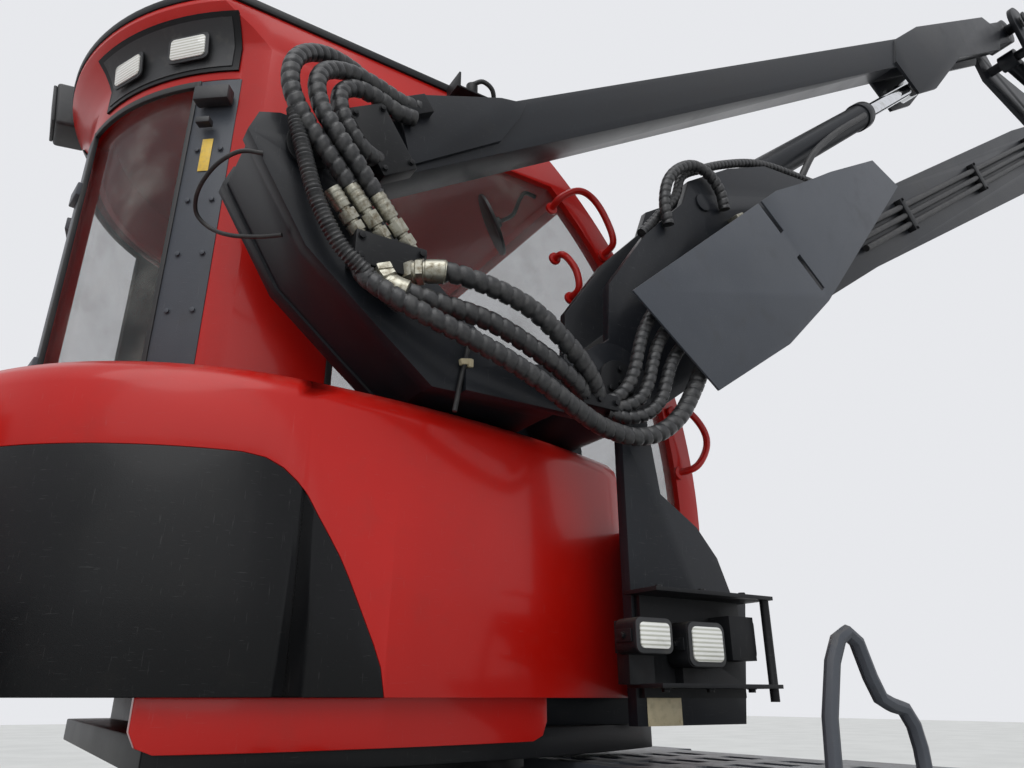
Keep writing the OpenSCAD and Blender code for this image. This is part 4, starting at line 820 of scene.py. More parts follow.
# Thin cables: radius and route
CABLES = {
    "arm_cable": (0.0065, [
        (-0.166, -1.008, 2.492), (-0.170, -1.014, 2.475), (-0.175, -1.012, 2.455), (-0.187, -1.011, 2.393),
        (-0.200, -1.010, 2.327), (-0.212, -1.009, 2.255)]),
    "corner_cable": (0.0055, [
        (-0.748, -1.003, 2.812), (-0.795, -0.988, 2.808), (-0.832, -0.942, 2.792), (-0.853, -0.885, 2.768),
        (-0.857, -0.832, 2.746), (-0.843, -0.792, 2.724), (-0.806, -0.792, 2.697), (-0.762, -0.832, 2.670),
        (-0.708, -0.888, 2.654), (-0.662, -0.930, 2.652)]),
}


def make_loops():
    for name, route in LOOPS.items():
        places = [at(*p) for p in route]
        make_hose(name, ("upper", "link", places[0], places[-1]), places, LOOP_R)
    shape = Shape()
    line = shape.tube([at(*p) for p in CONDUIT], CONDUIT_R, 18, 0.0022, corrugated(0.0105, 0.004))
    piece = shape.keep("corrugated_conduit", "upper", "wrap", radians(60))
    lay_cord(line)


def make_clips():
    """Clamp block and cover box on the link, strap clip and thin cables by the pillar."""
    link = Shape()
    link.box((0.10, 0.15, 0.062), crane(0.42, 0.098, -0.045, PILLAR_PIN), 0.004, CRANE_TURN)
    link.box((0.115, 0.055, 0.21), crane(0.235, 0.0, -0.1175, PILLAR_PIN), 0.006, CRANE_TURN)
    link.bolts([crane(x, z, -0.145, PILLAR_PIN) for z in (-0.085, 0.085) for x in (0.19, 0.28)], SIDE, 0.008)
    link.keep("link_clamp_and_cover", "link", "black")
    clip = Shape()
    clip.box((0.034, 0.016, 0.016), at(-0.186, -1.012, 2.393), 0.003, leant(-12))
    clip.box((0.014, 0.020, 0.024), at(-0.174, -1.012, 2.390), 0.003)
    clip.keep("strap_clip", "upper", "cream")
    for name, (r, route) in CABLES.items():
        make_hose(name, "upper", [at(*p) for p in route], r, wrapped=False)


def make_corner_lamp():
    """Lamp housing at the roof's left rear corner, with its bracket."""
    lamp = Shape()
    lamp.box((0.115, 0.170, 0.190), at(-1.225, 0.46, 3.775), 0.014, leant(-8), segments=3)
    lamp.box((0.012, 0.150, 0.165), at(-1.288, 0.46, 3.766), 0.004, leant(-8))
    lamp.box((0.110, 0.060, 0.010), at(-1.125, 0.46, 3.735), 0.002)
    lamp.box((0.010, 0.080, 0.090), at(-1.070, 0.46, 3.745), 0.002)
    lamp.keep("roof_corner_lamp", "upper", "plastic")


# End plates of the crane's pins: pin, distance from the crane's middle, radius
PIN_PLATES = {
    "upper": [(PILLAR_PIN, 0.162, 0.062), (BOOM_PIN, 0.184, 0.070)],
    "rocker": [(TIP_PIN, 0.200, 0.060), (LINK_END, 0.200, 0.060), (STICK_PIN, 0.200, 0.060)],
}


def circle(centre, r, count, start=0.0, second=UP):
    """Places at even turns round a centre, from X towards a second direction."""
    turns = [start + 2 * pi * k / count for k in range(count)]
    return [centre + Vector((r * cos(turn), 0, 0)) + second * r * sin(turn) for turn in turns]


def make_pins():
    """End plates, collars and bolts of the crane's pins."""
    for body, plates in PIN_PLATES.items():
        shape = Shape()
        for (x, z), reach, r in plates:
            for side, _ in SIDES:
                face = at(x, CRANE_Y + side * reach, z)
                out = Vector((0, side, 0))
                shape.rod(face - out * 0.002, face + out * 0.008, r, sides=40, bevel=0.002)
                shape.bolts(circle(face + out * 0.007, r * 0.62, 3, pi / 2), out, 0.009)
                shape.rod(face + out * 0.006, face + out * 0.016, 0.008, sides=12)
        shape.keep(f"{body}_pin_plates", body, "black")


# Work lamps on the shelf, as in the source: x, z, width, height

LAMPS = [(0.290, 1.740, 0.120, 0.085), (0.465, 1.725, 0.130, 0.110)]
LAMP_FRONT_Y = PLATE_FACE_Y - 0.097


def rounded(w, h, r, steps=6):
    """A rectangle's outline with rounded corners."""
    corners = []
    for cx, cy, start in ((1, 1, 0), (-1, 1, 90), (-1, -1, 180), (1, -1, 270)):
        for k in range(steps + 1):
            turn = radians(start + 90 * k / steps)
            corners.append((cx * (w / 2 - r) + r * cos(turn), cy * (h / 2 - r) + r * sin(turn)))
    return corners


def make_lamp(name, body, place, out, w, h, lens="lens"):
    """A bezel round a ribbed lens slab, on a lamp's front face."""
    placing = facing(place, UP.cross(Vector(out)), out)
    inner = (w - 0.022, h - 0.022)
    for part, (wide, tall), corner, middle, bevel, finish in (
        ("bezel", (w, h), 0.20, 0.003, 0.0015, "plastic"),
        ("lens", inner, 0.14, 0.0075, 0.002, lens),
    ):
        shape = Shape()
        outline = rounded(wide, tall, min(w, h) * corner)
        shape.slab(outline, 0.006, placing @ Matrix.Translation((0, 0, middle)), bevel)
        shape.keep(f"{name}_{part}", body, finish)


def make_shelf_lamps():
    metal = Shape()
    for number, (x, z, w, h) in enumerate(LAMPS, 1):
        make_lamp(f"shelf_lamp_{number}", "upper", at(x, LAMP_FRONT_Y, z), SIDE, w * 0.97, h * 0.97)
        for side, _ in SIDES:
            metal.box((0.004, 0.060, 0.030), at(x + side * (w / 2 + 0.003), PLATE_FACE_Y - 0.060, z), 0.001)
            metal.bolt(at(x + side * (w / 2 + 0.005), PLATE_FACE_Y - 0.062, z), (side, 0, 0), 0.007)
        for fin in range(5):
            metal.box((w * 0.8, 0.003, h * 0.9), at(x, PLATE_FACE_Y - 0.030 + 0.005 * fin, z), 0.0005)
    for height, out in ((1.622, -UP), (1.855, UP)):
        metal.bolts([at(x, PLATE_FACE_Y - 0.085, height) for x in (0.33, 0.48, 0.63)], out, 0.010)
    metal.keep("shelf_fittings", "upper", "black")
    make_lamp("forward_lamp", "upper", at(0.650, PLATE_FACE_Y - 0.050, 1.745), (1, 0, 0), 0.085, 0.105)
    plate = Shape()
    plate.box((0.115, 0.002, 0.080), at(0.40, PLATE_FACE_Y - 0.001, 1.575), 0.0005)
    for x in (0.35, 0.45):
        for z in (1.545, 1.605):
            plate.rod(at(x, PLATE_FACE_Y - 0.001, z), at(x, PLATE_FACE_Y - 0.004, z), 0.004, sides=10)
    plate.keep("blank_plate", "upper", "cream")


# Hoses below the bulkhead and under the guard, by the boom's root: radius and route

BOOM_HOSES = {
    "guard_hose_low": (0.025, [
        (-0.495, -1.034, 2.565), (-0.485, -1.060, 2.525), (-0.440, -1.100, 2.475), (-0.360, -1.130, 2.430),
        (-0.260, -1.145, 2.395), (-0.150, -1.150, 2.360), (-0.040, -1.148, 2.320), (0.060, -1.138, 2.280),
        (0.160, -1.122, 2.252), (0.270, -1.115, 2.245), (0.370, -1.112, 2.275), (0.455, -1.110, 2.340),
        (0.520, -1.108, 2.430), (0.580, -1.106, 2.530), (0.660, -1.100, 2.620)]),
    "guard_hose_1": (0.019, [
        (0.228, -1.062, 2.350), (0.262, -1.076, 2.372), (0.290, -1.088, 2.408), (0.308, -1.097, 2.455),
        (0.322, -1.102, 2.515), (0.345, -1.104, 2.580), (0.385, -1.104, 2.650), (0.440, -1.104, 2.715)]),
    "guard_hose_2": (0.019, [
        (0.232, -1.062, 2.335), (0.275, -1.078, 2.342), (0.320, -1.092, 2.368), (0.350, -1.100, 2.415),
        (0.368, -1.104, 2.475), (0.392, -1.104, 2.540), (0.432, -1.104, 2.605), (0.490, -1.104, 2.665)]),
    "guard_hose_3": (0.019, [
        (0.232, -1.062, 2.322), (0.290, -1.080, 2.312), (0.348, -1.096, 2.332), (0.392, -1.104, 2.378),
        (0.415, -1.106, 2.435), (0.440, -1.106, 2.495), (0.480, -1.106, 2.555), (0.545, -1.106, 2.615)]),
}
# Hoses over the boom's root: radius, and route as x along the boom, z square to it and y
TOP_HOSES = {
    "hump_hose_1": (0.017, [
        (0.50, 0.402, -0.115), (0.62, 0.438, -0.115), (0.76, 0.482, -0.115), (0.86, 0.548, -0.115),
        (1.00, 0.552, -0.115), (1.13, 0.545, -0.115), (1.30, 0.520, -0.115), (1.45, 0.470, -0.115),
        (1.65, 0.366, -0.115), (1.82, 0.280, -0.115), (1.95, 0.226, -0.115)]),
    "hump_hose_2": (0.020, [
        (0.60, 0.390, -0.152), (0.64, 0.470, -0.156), (0.71, 0.535, -0.158), (0.80, 0.565, -0.158),
        (0.89, 0.560, -0.158), (0.95, 0.510, -0.158), (0.965, 0.440, -0.156), (0.94, 0.370, -0.152)]),
}
LIFT_HOSE = [
    (1.430, -0.955, 3.625), (1.470, -0.965, 3.700), (1.530, -0.965, 3.790), (1.600, -0.955, 3.870),
    (1.680, -0.945, 3.950), (1.770, -0.940, 4.035), (1.860, -0.940, 4.115), (1.950, -0.940, 4.190),
    (2.030, -0.935, 4.255), (2.100, -0.930, 4.315),
]
LIFT_HOSE_R = 0.015


def make_boom_hoses():
    bend = ("upper", "boom", at(0.18, -1.1, 2.28), at(0.46, -1.1, 2.56))
    for name, (r, route) in BOOM_HOSES.items():
        make_hose(name, bend, [at(*p) for p in route], r)
    for name, (r, route) in TOP_HOSES.items():
        make_hose(name, "boom", [crane(*p) for p in route], r)
    bend = ("boom", "lift_barrel", at(1.46, -0.95, 3.68), at(1.86, -0.95, 4.10))
    make_hose("lift_hose", bend, [at(*p) for p in LIFT_HOSE], LIFT_HOSE_R, wrapped=False)
    metal = Shape()
    for x, z in ((0.36, 0.20), (0.98, 0.32), (1.46, 0.30)):
        metal.box((0.045, 0.050, 0.028), crane(x, z, -0.150), 0.003, CRANE_TURN)
        metal.bolt(crane(x, z, -0.174), SIDE, 0.008)
    metal.keep("boom_hose_clamps", "boom", "zinc")


# Cab fittings

CAB_CENTRE = at(CAB_REAR_X, CAB_Y, 0)


def rear_wall(angle, r, z, side=-1):
    """A place on the cab's round rear: angle from straight back, in degrees."""
    turn = radians(angle)
    return CAB_CENTRE + Vector((-r * cos(turn), side * r * sin(turn), z))


def rear_out(angle, side=-1):
    return Vector((-cos(radians(angle)), side * sin(radians(angle)), 0))


def rear_turn(angle, side=-1):
    """A turn that puts a piece's own Z square to the round rear."""
    return rear_out(angle, side).to_track_quat("Z", "Y").to_matrix()


WALL_IN = 0.842
PANE_LOW = 2.335
PANE_HIGH = 3.435
# The rear window's strips and seals: first and last angle, outer radius, low, high
WINDOW_STRIPS = [(47, 56.5, 0.853, PANE_LOW, PANE_HIGH), (6, 11.5, 0.853, PANE_LOW, PANE_HIGH)]
WINDOW_SEALS = [
    (11.0, 47.5, 0.856, 3.415, 3.438), (11.0, 47.5, 0.856, 2.332, 2.355),
    (46.2, 47.2, 0.857, PANE_LOW, PANE_HIGH), (11.3, 12.3, 0.857, PANE_LOW, PANE_HIGH),
]


def curved(shape, side, start, end, r_out, low, high):
    """A strip that follows the cab's round rear between two angles."""
    steps = max(2, round((end - start) / 3))
    turns = [radians(start + (end - start) * k / steps) for k in range(steps + 1)]
    outline = [(-r_out * cos(t), side * r_out * sin(t)) for t in turns]
    outline += [(-WALL_IN * cos(t), side * WALL_IN * sin(t)) for t in reversed(turns)]
    shape.slab(outline, high - low, Matrix.Translation(CAB_CENTRE + UP * (low + high) / 2), 0.0015)


def make_rear_window():
    strips = Shape()
    seal = Shape()
    for side, _ in SIDES:
        for row in WINDOW_STRIPS:
            curved(strips, side, *row)
        for row in WINDOW_SEALS:
            curved(seal, side, *row)
        for angle in (49.5, 54.5):
            heights = [2.42 + 0.185 * k for k in range(6)]
            strips.bolts([rear_wall(angle, 0.852, z, side) for z in heights], rear_out(angle, side), 0.008)
        for height in (2.55, 3.20):
            strips.box((0.10, 0.05, 0.022), rear_wall(8.5, 0.858, height, side), 0.004, rear_turn(8.5, side))
    strips.keep("rear_window_strips", "upper", "plate_grey")
    seal.keep("rear_window_seals", "upper", "rubber")
    latch = Shape()
    latch.box((0.115, 0.055, 0.045), rear_wall(52, 0.880, 3.345), 0.008, rear_turn(52))
    latch.box((0.045, 0.022, 0.030), rear_wall(51, 0.880, 3.245), 0.004, rear_turn(52))
    latch.keep("window_latch", "upper", "plastic")
    label = Shape()
    label.box((0.034, 0.120, 0.0012), rear_wall(51.5, 0.8545, 3.14), 0.0004, rear_turn(52))
    label.keep("blank_label", "upper", "yellow")


# The wall and its flare above the rear window: height, radius
FLARE = [(3.470, 0.852), (3.560, 0.853), (3.585, 0.864), (3.620, 0.886), (3.655, 0.917)]
BAND = [(3.486, 0.852), *FLARE[1:4], (3.640, 0.904)]
FLARE_THICK = 0.012


def flared(shape, start, end, levels, lift, side):
    """A strip over the wall and the flare above it, between two angles."""
    steps = max(2, round((end - start) / 3))
    rings = []
    for k in range(steps + 1):
        angle = start + (end - start) * k / steps
        ring = [rear_wall(angle, r + lift, z, side) for z, r in levels]
        rings.append(ring + [rear_wall(angle, r - FLARE_THICK, z, side) for z, r in reversed(levels)])
    shape.loft(rings)


def make_lamp_recess():
    """Dark band with two lamps above each half of the rear window."""
    band = Shape()
    rim = Shape()
    for side, key in SIDES:
        flared(rim, 17.5, 55.5, FLARE, 0.006, side)
        flared(band, 19.0, 54.0, BAND, 0.009, side)
        for number, angle in enumerate((27, 44), 1):
            place = rear_wall(angle, 0.876, 3.562, side)
            out = (rear_out(angle, side) - UP * 0.12).normalized()
            make_lamp(f"rear_lamp_{key}{number}", "upper", place, out, 0.150, 0.100)
    band.keep("rear_lamp_band", "upper", "plastic")
    rim.keep("rear_lamp_rim", "upper", "black")


# Grab handles of the right side; the last is on both sides
HANDLES = [
    [(0.42, -0.553, 3.35), (0.43, -0.61, 3.375), (0.50, -0.63, 3.42), (0.57, -0.63, 3.41),
     (0.63, -0.63, 3.34), (0.67, -0.62, 3.25), (0.665, -0.556, 3.22)],
    [(0.43, -0.553, 3.13), (0.44, -0.60, 3.13), (0.48, -0.62, 3.07), (0.50, -0.61, 3.00),
     (0.495, -0.556, 2.98)],
    [(0.97, -0.555, 2.62), (1.00, -0.61, 2.615), (1.06, -0.625, 2.55), (1.07, -0.625, 2.48),
     (1.02, -0.615, 2.40), (0.98, -0.556, 2.38)],
]
MIRROR_R = 0.121
MIRROR_OUT = Vector((0.749, -0.531, 0.396))
MIRROR_ARM = [(0.300, -0.47, 3.330), (0.340, -0.455, 3.420), (0.370, -0.45, 3.470), (0.420, -0.45, 3.470)]
LEAD = [
    (0.02, -0.64, 3.70), (0.05, -0.66, 3.71), (0.09, -0.66, 3.69), (0.11, -0.63, 3.655), (0.10, -0.58, 3.63),
]


def make_handles():
    bars = Shape()
    feet = Shape()
    for route in HANDLES:
        for side, key in SIDES:
            if key == "l" and route is not HANDLES[-1]:
                continue
            places = [at(x, CAB_Y + side * (CAB_Y - y), z) for x, y, z in route]
            bars.tube(places, 0.0135, 14, 0.012)
            for foot in (places[0], places[-1]):
                feet.rod(foot, foot + Vector((0, side * 0.012, 0)), 0.024, sides=20, bevel=0.002)
    bars.keep("grab_handles", "upper", "red")
    feet.keep("handle_feet", "upper", "red")


def make_cab_fittings():
    mirror = Shape()
    middle = at(0.213, -0.46, 3.258)
    mirror.rod(middle - MIRROR_OUT * 0.006, middle + MIRROR_OUT * 0.006, MIRROR_R, sides=48, bevel=0.003)
    mirror.rod(middle, middle + MIRROR_OUT * 0.035, 0.020, sides=20, bevel=0.003)
    mirror.tube([middle + MIRROR_OUT * 0.03, *(at(*p) for p in MIRROR_ARM)], 0.008, 12, 0.01)
    mirror.keep("inner_mirror", "upper", "plastic")
    strip = Shape()
    for side, _ in SIDES:
        strip.box((0.018, 0.008, 1.46), at(-0.392, CAB_Y + side * (CAB_HALF + 0.003), 2.72), 0.002)
    strip.box((0.13, 0.05, 0.012), at(-0.01, -0.572, 3.60), 0.002)
    strip.keep("side_seals", "upper", "rubber")
    bracket = Shape()
    bracket.box((0.16, 0.10, 0.008), at(0.02, -0.62, 3.635), 0.002)
    bracket.box((0.008, 0.10, 0.07), at(-0.05, -0.62, 3.665), 0.002)
    bracket.rod(at(0.02, -0.63, 3.64), at(0.02, -0.63, 3.70), 0.022, sides=20, bevel=0.003)
    bracket.bolt(at(0.07, -0.62, 3.639), UP, 0.009)
    bracket.keep("roof_bracket", "upper", "black")
    lead = Shape()
    lead.tube([at(*p) for p in LEAD], 0.009, 10, 0.006)
    lead.keep("bracket_lead", "upper", "rubber")


# Tyres with slanted lugs

TREAD_DEPTH = 0.044
# Where a bead sits on the rim
BEAD_R = {"front": 0.34, "rear": 0.44}
LUGS = {"front": 20, "rear": 24}
# A lug's sections: share of the half width, lead in degrees, below the tread, half thickness
LUG = [
    (0.03, 0.0, 0.0, 0.026), (0.45, 3.2, 0.0, 0.024), (0.78, 5.6, 0.002, 0.026),
    (0.93, 6.9, 0.016, 0.032), (0.985, 7.3, 0.060, 0.034), (0.975, 7.3, 0.115, 0.026),
]


def carcass_profile(bead, carcass, half):
    """Radius and height from one bead over the tread to the other."""
    profile = [
        (bead, half * 0.60), (bead + 0.006, half * 0.92), (bead + 0.028, half * 0.935),
        (bead + 0.040, half * 0.90), (bead + 0.10, half * 0.955), (bead + 0.17, half * 0.985),
        (carcass - 0.10, half * 0.985), (carcass - 0.05, half * 0.94), (carcass - 0.012, half * 0.84),
        (carcass, half * 0.62), (carcass + 0.002, half * 0.3), (carcass + 0.002, 0),
    ]
    return profile + [(r, -z) for r, z in reversed(profile[:-1])]


def make_tyre(name):
    end = name.split("_")[0]
    low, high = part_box(name)
    place = (low + high) / 2
    r = (high.z - low.z) / 2
    half = (high.y - low.y) / 2
    carcass = r - TREAD_DEPTH
    tyre = Shape()
    tyre.lathe(carcass_profile(BEAD_R[end], carcass, half), place, (0, 1, 0), 72)
    for side, key in SIDES:
        for k in range(LUGS[end]):
            turn = 360 * (k + (0.5 if key == "l" else 0)) / LUGS[end]
            rings = []
            for share, lead, below, thick in LUG:
                foot = carcass - (0.11 if share > 0.97 else 0.03)
                ring = []
                for radius, across in ((foot, -1.15), (foot, 1.15), (r - below, 0.85), (r - below, -0.85)):
                    a = radians(turn + lead) + across * thick / r
                    ring.append(place + Vector((radius * cos(a), side * share * half, radius * sin(a))))
                rings.append(ring)
            tyre.loft(rings)
    tyre.keep(name + "_tread", frame["nodes"][name]["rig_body"], "tyre", radians(30), replaces=[name])


def make_tyres():
    for name in [n for n in frame["nodes"] if "_tyre_" in n]:
        make_tyre(name)


# Driver's seat with stuffed cushions, and the controls

def simulate_cushion(piece, size, voxel):
    """Puffs the cushion out against its side seam and two rows of stitches."""
    remesh = piece.modifiers.new("remesh", "REMESH")
    remesh.mode = "VOXEL"
    remesh.voxel_size = voxel
    take_shape(piece)
    half = [s / 2 for s in size]
    seam = piece.vertex_groups.new(name="seam")
    for v in piece.data.vertices:
        on_side = abs(v.co.z) < voxel * 0.6
        on_row = any(abs(v.co.x - side * half[0] * 0.36) < voxel * 0.6 for side in (-1, 1))
        if on_side:
            seam.add([v.index], 1.0, "REPLACE")
        elif on_row and abs(v.co.z) > half[2] * 0.6 and abs(v.co.y) < half[1] * 0.82:
            v.co.z *= 0.88
            seam.add([v.index], 1.0, "REPLACE")
    cloth = piece.modifiers.new("stuffing", "CLOTH")
    cloth.settings.use_pressure = True
    cloth.settings.uniform_pressure_force = 4
    cloth.settings.vertex_group_mass = "seam"
    cloth.settings.effector_weights.gravity = 0
    cloth.settings.tension_stiffness = 20
    cloth.settings.compression_stiffness = 20
    cloth.settings.bending_stiffness = 0.8
    scene = bpy.context.scene
    for number in range(1, 21):
        scene.frame_set(number)
    take_shape(piece)
    scene.frame_set(1)
    for v in piece.data.vertices:
        v.co = Vector(max(-h * 1.02, min(h * 1.02, c)) for h, c in zip(half, v.co))


def take_shape(piece):
    """Makes the piece's modified shape its own mesh."""
    shown = piece.evaluated_get(bpy.context.evaluated_depsgraph_get())
    data = bpy.data.meshes.new_from_object(shown)
    piece.modifiers.clear()
    old = piece.data
    piece.data = data
    bpy.data.meshes.remove(old)


def make_cushion(name, size, place, lean=0.0, voxel=0.012, replaces=()):
    """A cushion whose broad faces are square to its own Z, leant about Y, with piping round it."""
    shape = Shape()
    slim = (size[0] * 0.97, size[1] * 0.97, size[2] * 0.86)
    shape.box(slim, (0, 0, 0), min(size) * 0.30, segments=5)
    piece = shape.keep(name, None, "cloth", radians(80), replaces)
    simulate_cushion(piece, size, voxel)
    piece.data.shade_smooth()
    placing = Matrix.Translation(place) @ Matrix.Rotation(lean, 4, "Y")
    piece.data.transform(placing)
    smooth = piece.modifiers.new("finer", "SUBSURF")
    smooth.levels = smooth.render_levels = 1
    take_shape(piece)
    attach(piece, "upper")
    piping = Shape()
    route = [(x, y, 0) for x, y in rounded(size[0] * 0.975, size[1] * 0.975, min(size) * 0.32, 8)]
    route.append(route[0])
    piping.tube([placing @ Vector(p) for p in route], 0.0055, 10, 0.008)
    piping.keep(name + "_piping", "upper", "plastic")


SEAT_X = -0.150
SEAT_Z = 1.7003
LEAN = radians(-8)
ARMREST_Y = 0.275
SCREEN_STAND = [(0.68, -0.24, 2.34), (0.76, -0.28, 2.20), (0.80, -0.33, 1.95), (0.80, -0.36, 1.72)]


def in_seat(x, y, z):
    """A place about the middle of the seat's foot."""
    return at(SEAT_X + x, CAB_Y + y, SEAT_Z + z)


def in_back(x, y, z):
    """A place on the leant seat back."""
    return in_seat(-0.33, 0, 0.32) + Matrix.Rotation(LEAN, 3, "Y") @ Vector((x, y, z))


def make_seat():
    make_cushion("seat_cushion", (0.54, 0.52, 0.130), in_seat(0.01, 0, 0.325), replaces=["cab_seat"])
    make_cushion("seat_back", (0.56, 0.48, 0.130), in_back(0.065, 0, 0.285), LEAN + pi / 2)
    make_cushion("seat_headrest", (0.13, 0.27, 0.100), in_back(0.065, 0, 0.650), LEAN + pi / 2, 0.009)
    base = Shape()
    base.box((0.42, 0.40, 0.030), in_seat(0.02, 0, 0.015), 0.004)
    base.box((0.44, 0.42, 0.040), in_seat(0.02, 0, 0.236), 0.008)
    for k in range(5):
        base.box((0.36, 0.34, 0.024), in_seat(0.02, 0, 0.050 + 0.038 * k), 0.011, segments=3)
    for side, key in SIDES:
        y = side * ARMREST_Y
        make_cushion(f"armrest_{key}", (0.46, 0.090, 0.060), in_seat(-0.06, y, 0.47), 0.0, 0.008)
        base.rod(in_back(0.065, side * 0.06, 0.54), in_back(0.065, side * 0.06, 0.62), 0.007, sides=12)
        base.box((0.05, 0.03, 0.22), in_seat(-0.20, y, 0.33), 0.005)
        base.box((0.20, 0.10, 0.05), in_seat(0.19, y, 0.46), 0.012, segments=3)
        base.rod(in_seat(0.22, y, 0.48), in_seat(0.225, y, 0.555), 0.010, sides=14)
        base.rod(in_seat(0.225, y, 0.545), in_seat(0.20, y, 0.660), 0.021, 0.026, 20, 0.006)
    base.keep("seat_base_and_controls", "upper", "plastic")


def make_screen():
    """Screen on its stand, and two pedals."""
    screen = Shape()
    screen.box((0.035, 0.30, 0.21), at(0.66, -0.24, 2.36), 0.008, leant(-12))
    screen.tube([at(*p) for p in SCREEN_STAND], 0.014, 12, 0.02)
    for side, _ in SIDES:
        y = CAB_Y + side * 0.09
        screen.box((0.10, 0.07, 0.014), at(0.62, y, 1.745), 0.003, leant(-24))
        screen.rod(at(0.66, y, 1.70), at(0.65, y, 1.755), 0.010)
    screen.keep("cab_screen_and_pedals", "upper", "plastic")


# Hoses along the booms

LINE_R = 0.0145
LINE_STEP = 0.045


def along_stick(x, z, y=0.0):
    return crane(x, z, y, STICK_PIN, STICK_ANGLE)


def along_boom(x, z, y):
    """A place on the boom's side, which comes down towards its tip."""
    return crane(x, z - 0.02 * max(0.0, x - 4.4), y)


def make_crane_hoses():
    for number, z in enumerate((0.085, 0.040, -0.005), 1):
        down = 0.045 * (number - 2)
        line = [along_boom(x, z, -0.148) for x in (1.75, 2.3, 2.9, 3.5, 4.1, 4.7, 5.20)]
        tip = [
            line[-1], crane(5.32, z - 0.03, -0.158), crane(5.45, -0.10 - down, -0.182),
            crane(5.58, -0.20 - down, -0.205), crane(5.72, -0.29 - down, -0.215),
            at(5.335 + down, -1.058, 5.335),
        ]
        stick = [along_stick(x, -0.040 + down * 0.8, -0.146) for x in (0.95, 1.4, 1.9, 2.4, 2.75)]
        fall = [
            tip[-1], at(5.425 + down, -1.056, 5.235), at(5.52 + down, -1.045, 5.14),
            along_stick(0.56, -0.055 + down, -0.165), along_stick(0.74, -0.045 + down * 0.8, -0.148),
            stick[0],
        ]
        make_hose(f"boom_line_{number}", "boom", line, LINE_R, wrapped=False, step=LINE_STEP)
        bend = ("boom", "rocker", tip[1], tip[-2])
        make_hose(f"tip_loop_{number}", bend, tip, LINE_R, wrapped=False)
        bend = ("rocker", "outer_boom", fall[0], fall[-2])
        make_hose(f"stick_loop_{number}", bend, fall, LINE_R, wrapped=False)
        make_hose(f"stick_line_{number}", "outer_boom", stick, LINE_R, wrapped=False, step=LINE_STEP)


def make_line_clamps():
    clamps = Shape()
    for x in (2.25, 3.25, 4.25, 5.10):
        clamps.box((0.045, 0.034, 0.165), along_boom(x, 0.040, -0.149), 0.003, CRANE_TURN)
        clamps.bolts([along_boom(x, z, -0.166) for z in (0.115, -0.035)], SIDE, 0.007)
    clamps.keep("boom_line_clamps", "boom", "black")
    holders = Shape()
    for x in (1.05, 1.85, 2.65):
        holders.box((0.045, 0.034, 0.150), along_stick(x, -0.040, -0.147), 0.003, STICK_TURN)
        holders.bolts([along_stick(x, z, -0.164) for z in (0.030, -0.110)], SIDE, 0.007)
    for x in (0.55, 2.95):
        holders.bolts([along_stick(x, z, -0.130) for z in (-0.085, 0.085)], SIDE, 0.010)
    holders.keep("stick_line_clamps", "outer_boom", "black")
    guide = Shape()
    guide.box((0.10, 0.045, 0.16), at(5.335, -1.045, 5.335), 0.006, leant(45))
    guide.keep("rocker_hose_guide", "rocker", "black")


# Harvester head

# A hose on the valve block: x, out from the middle, up from its foot
HEAD_HOSE = [
    (-0.262, 0.050, 0.0), (-0.300, 0.070, 0.020), (-0.312, 0.105, 0.080), (-0.290, 0.130, 0.140),
    (-0.245, 0.138, 0.175), (-0.205, 0.138, 0.185),
]
HEAD_HOSE_R = 0.0125
WHEEL_TEETH = 24
CHAIN_STEP = 0.016


def in_head(x, y, z):
    """A place about the pin that the head hangs from."""
    return at(HEAD_PIN[0] + x, CRANE_Y + y, HEAD_PIN[1] + z)


def make_valve_block():
    """Valve block on the spine's back with its fittings and hoses, and bolts on the head's sides."""
    metal = Shape()
    metal.box((0.060, 0.20, 0.26), in_head(-0.225, 0, -1.12), 0.006)
    for y in (-0.07, 0.0, 0.07):
        for z in (-1.20, -1.12, -1.04):
            metal.rod(in_head(-0.250, y, z), in_head(-0.275, y, z), 0.014, sides=6, bevel=0.001)
    metal.bolts([in_head(-0.255, y, z) for y in (-0.085, 0.085) for z in (-1.235, -1.005)], (-1, 0, 0), 0.007)
    for side, _ in SIDES:
        metal.bolts([in_head(-0.10, side * 0.281, z) for z in (-1.905, -1.80)], (0, side, 0), 0.012)
        metal.bolt(in_head(0.0, side * 0.186, -0.69), (0, side, 0), 0.02)
    metal.keep("head_valve_block", "head", "zinc")
    for number, (side, _) in enumerate(SIDES):
        for row, foot in enumerate((-1.20, -1.11)):
            route = [in_head(x, side * y, foot + z) for x, y, z in HEAD_HOSE]
            make_hose(f"head_hose_{number}{row}", "head", route, HEAD_HOSE_R, wrapped=False)


def make_measuring_wheel():
    wheel = Shape()
    hub = in_head(-0.035, 0, -1.30)
    wheel.rod(hub + SIDE * 0.012, hub - SIDE * 0.012, 0.065, sides=36, bevel=0.002)
    for k, place in enumerate(circle(hub, 0.068, WHEEL_TEETH)):
        wheel.box((0.012, 0.022, 0.006), place, 0, leant(-360 * k / WHEEL_TEETH))
    wheel.keep("measuring_wheel", "head", "steel")


def make_saw_chain():
    low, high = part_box("saw_bar")
    z = (low.z + high.z) / 2
    chain = Shape()
    for k in range(round((high.y - low.y - 0.06) / CHAIN_STEP)):
        y = low.y + 0.03 + CHAIN_STEP * k
        for x, side in ((low.x, -1), (high.x, 1)):
            chain.box((0.008, 0.012, 0.006), (x + side * 0.002, y, z), 0.001)
            if k % 3 == 0:
                chain.box((0.008, 0.006, 0.009), (x + side * 0.006, y, z), 0.001)
    chain.keep("saw_chain", "saw_bar", "steel")


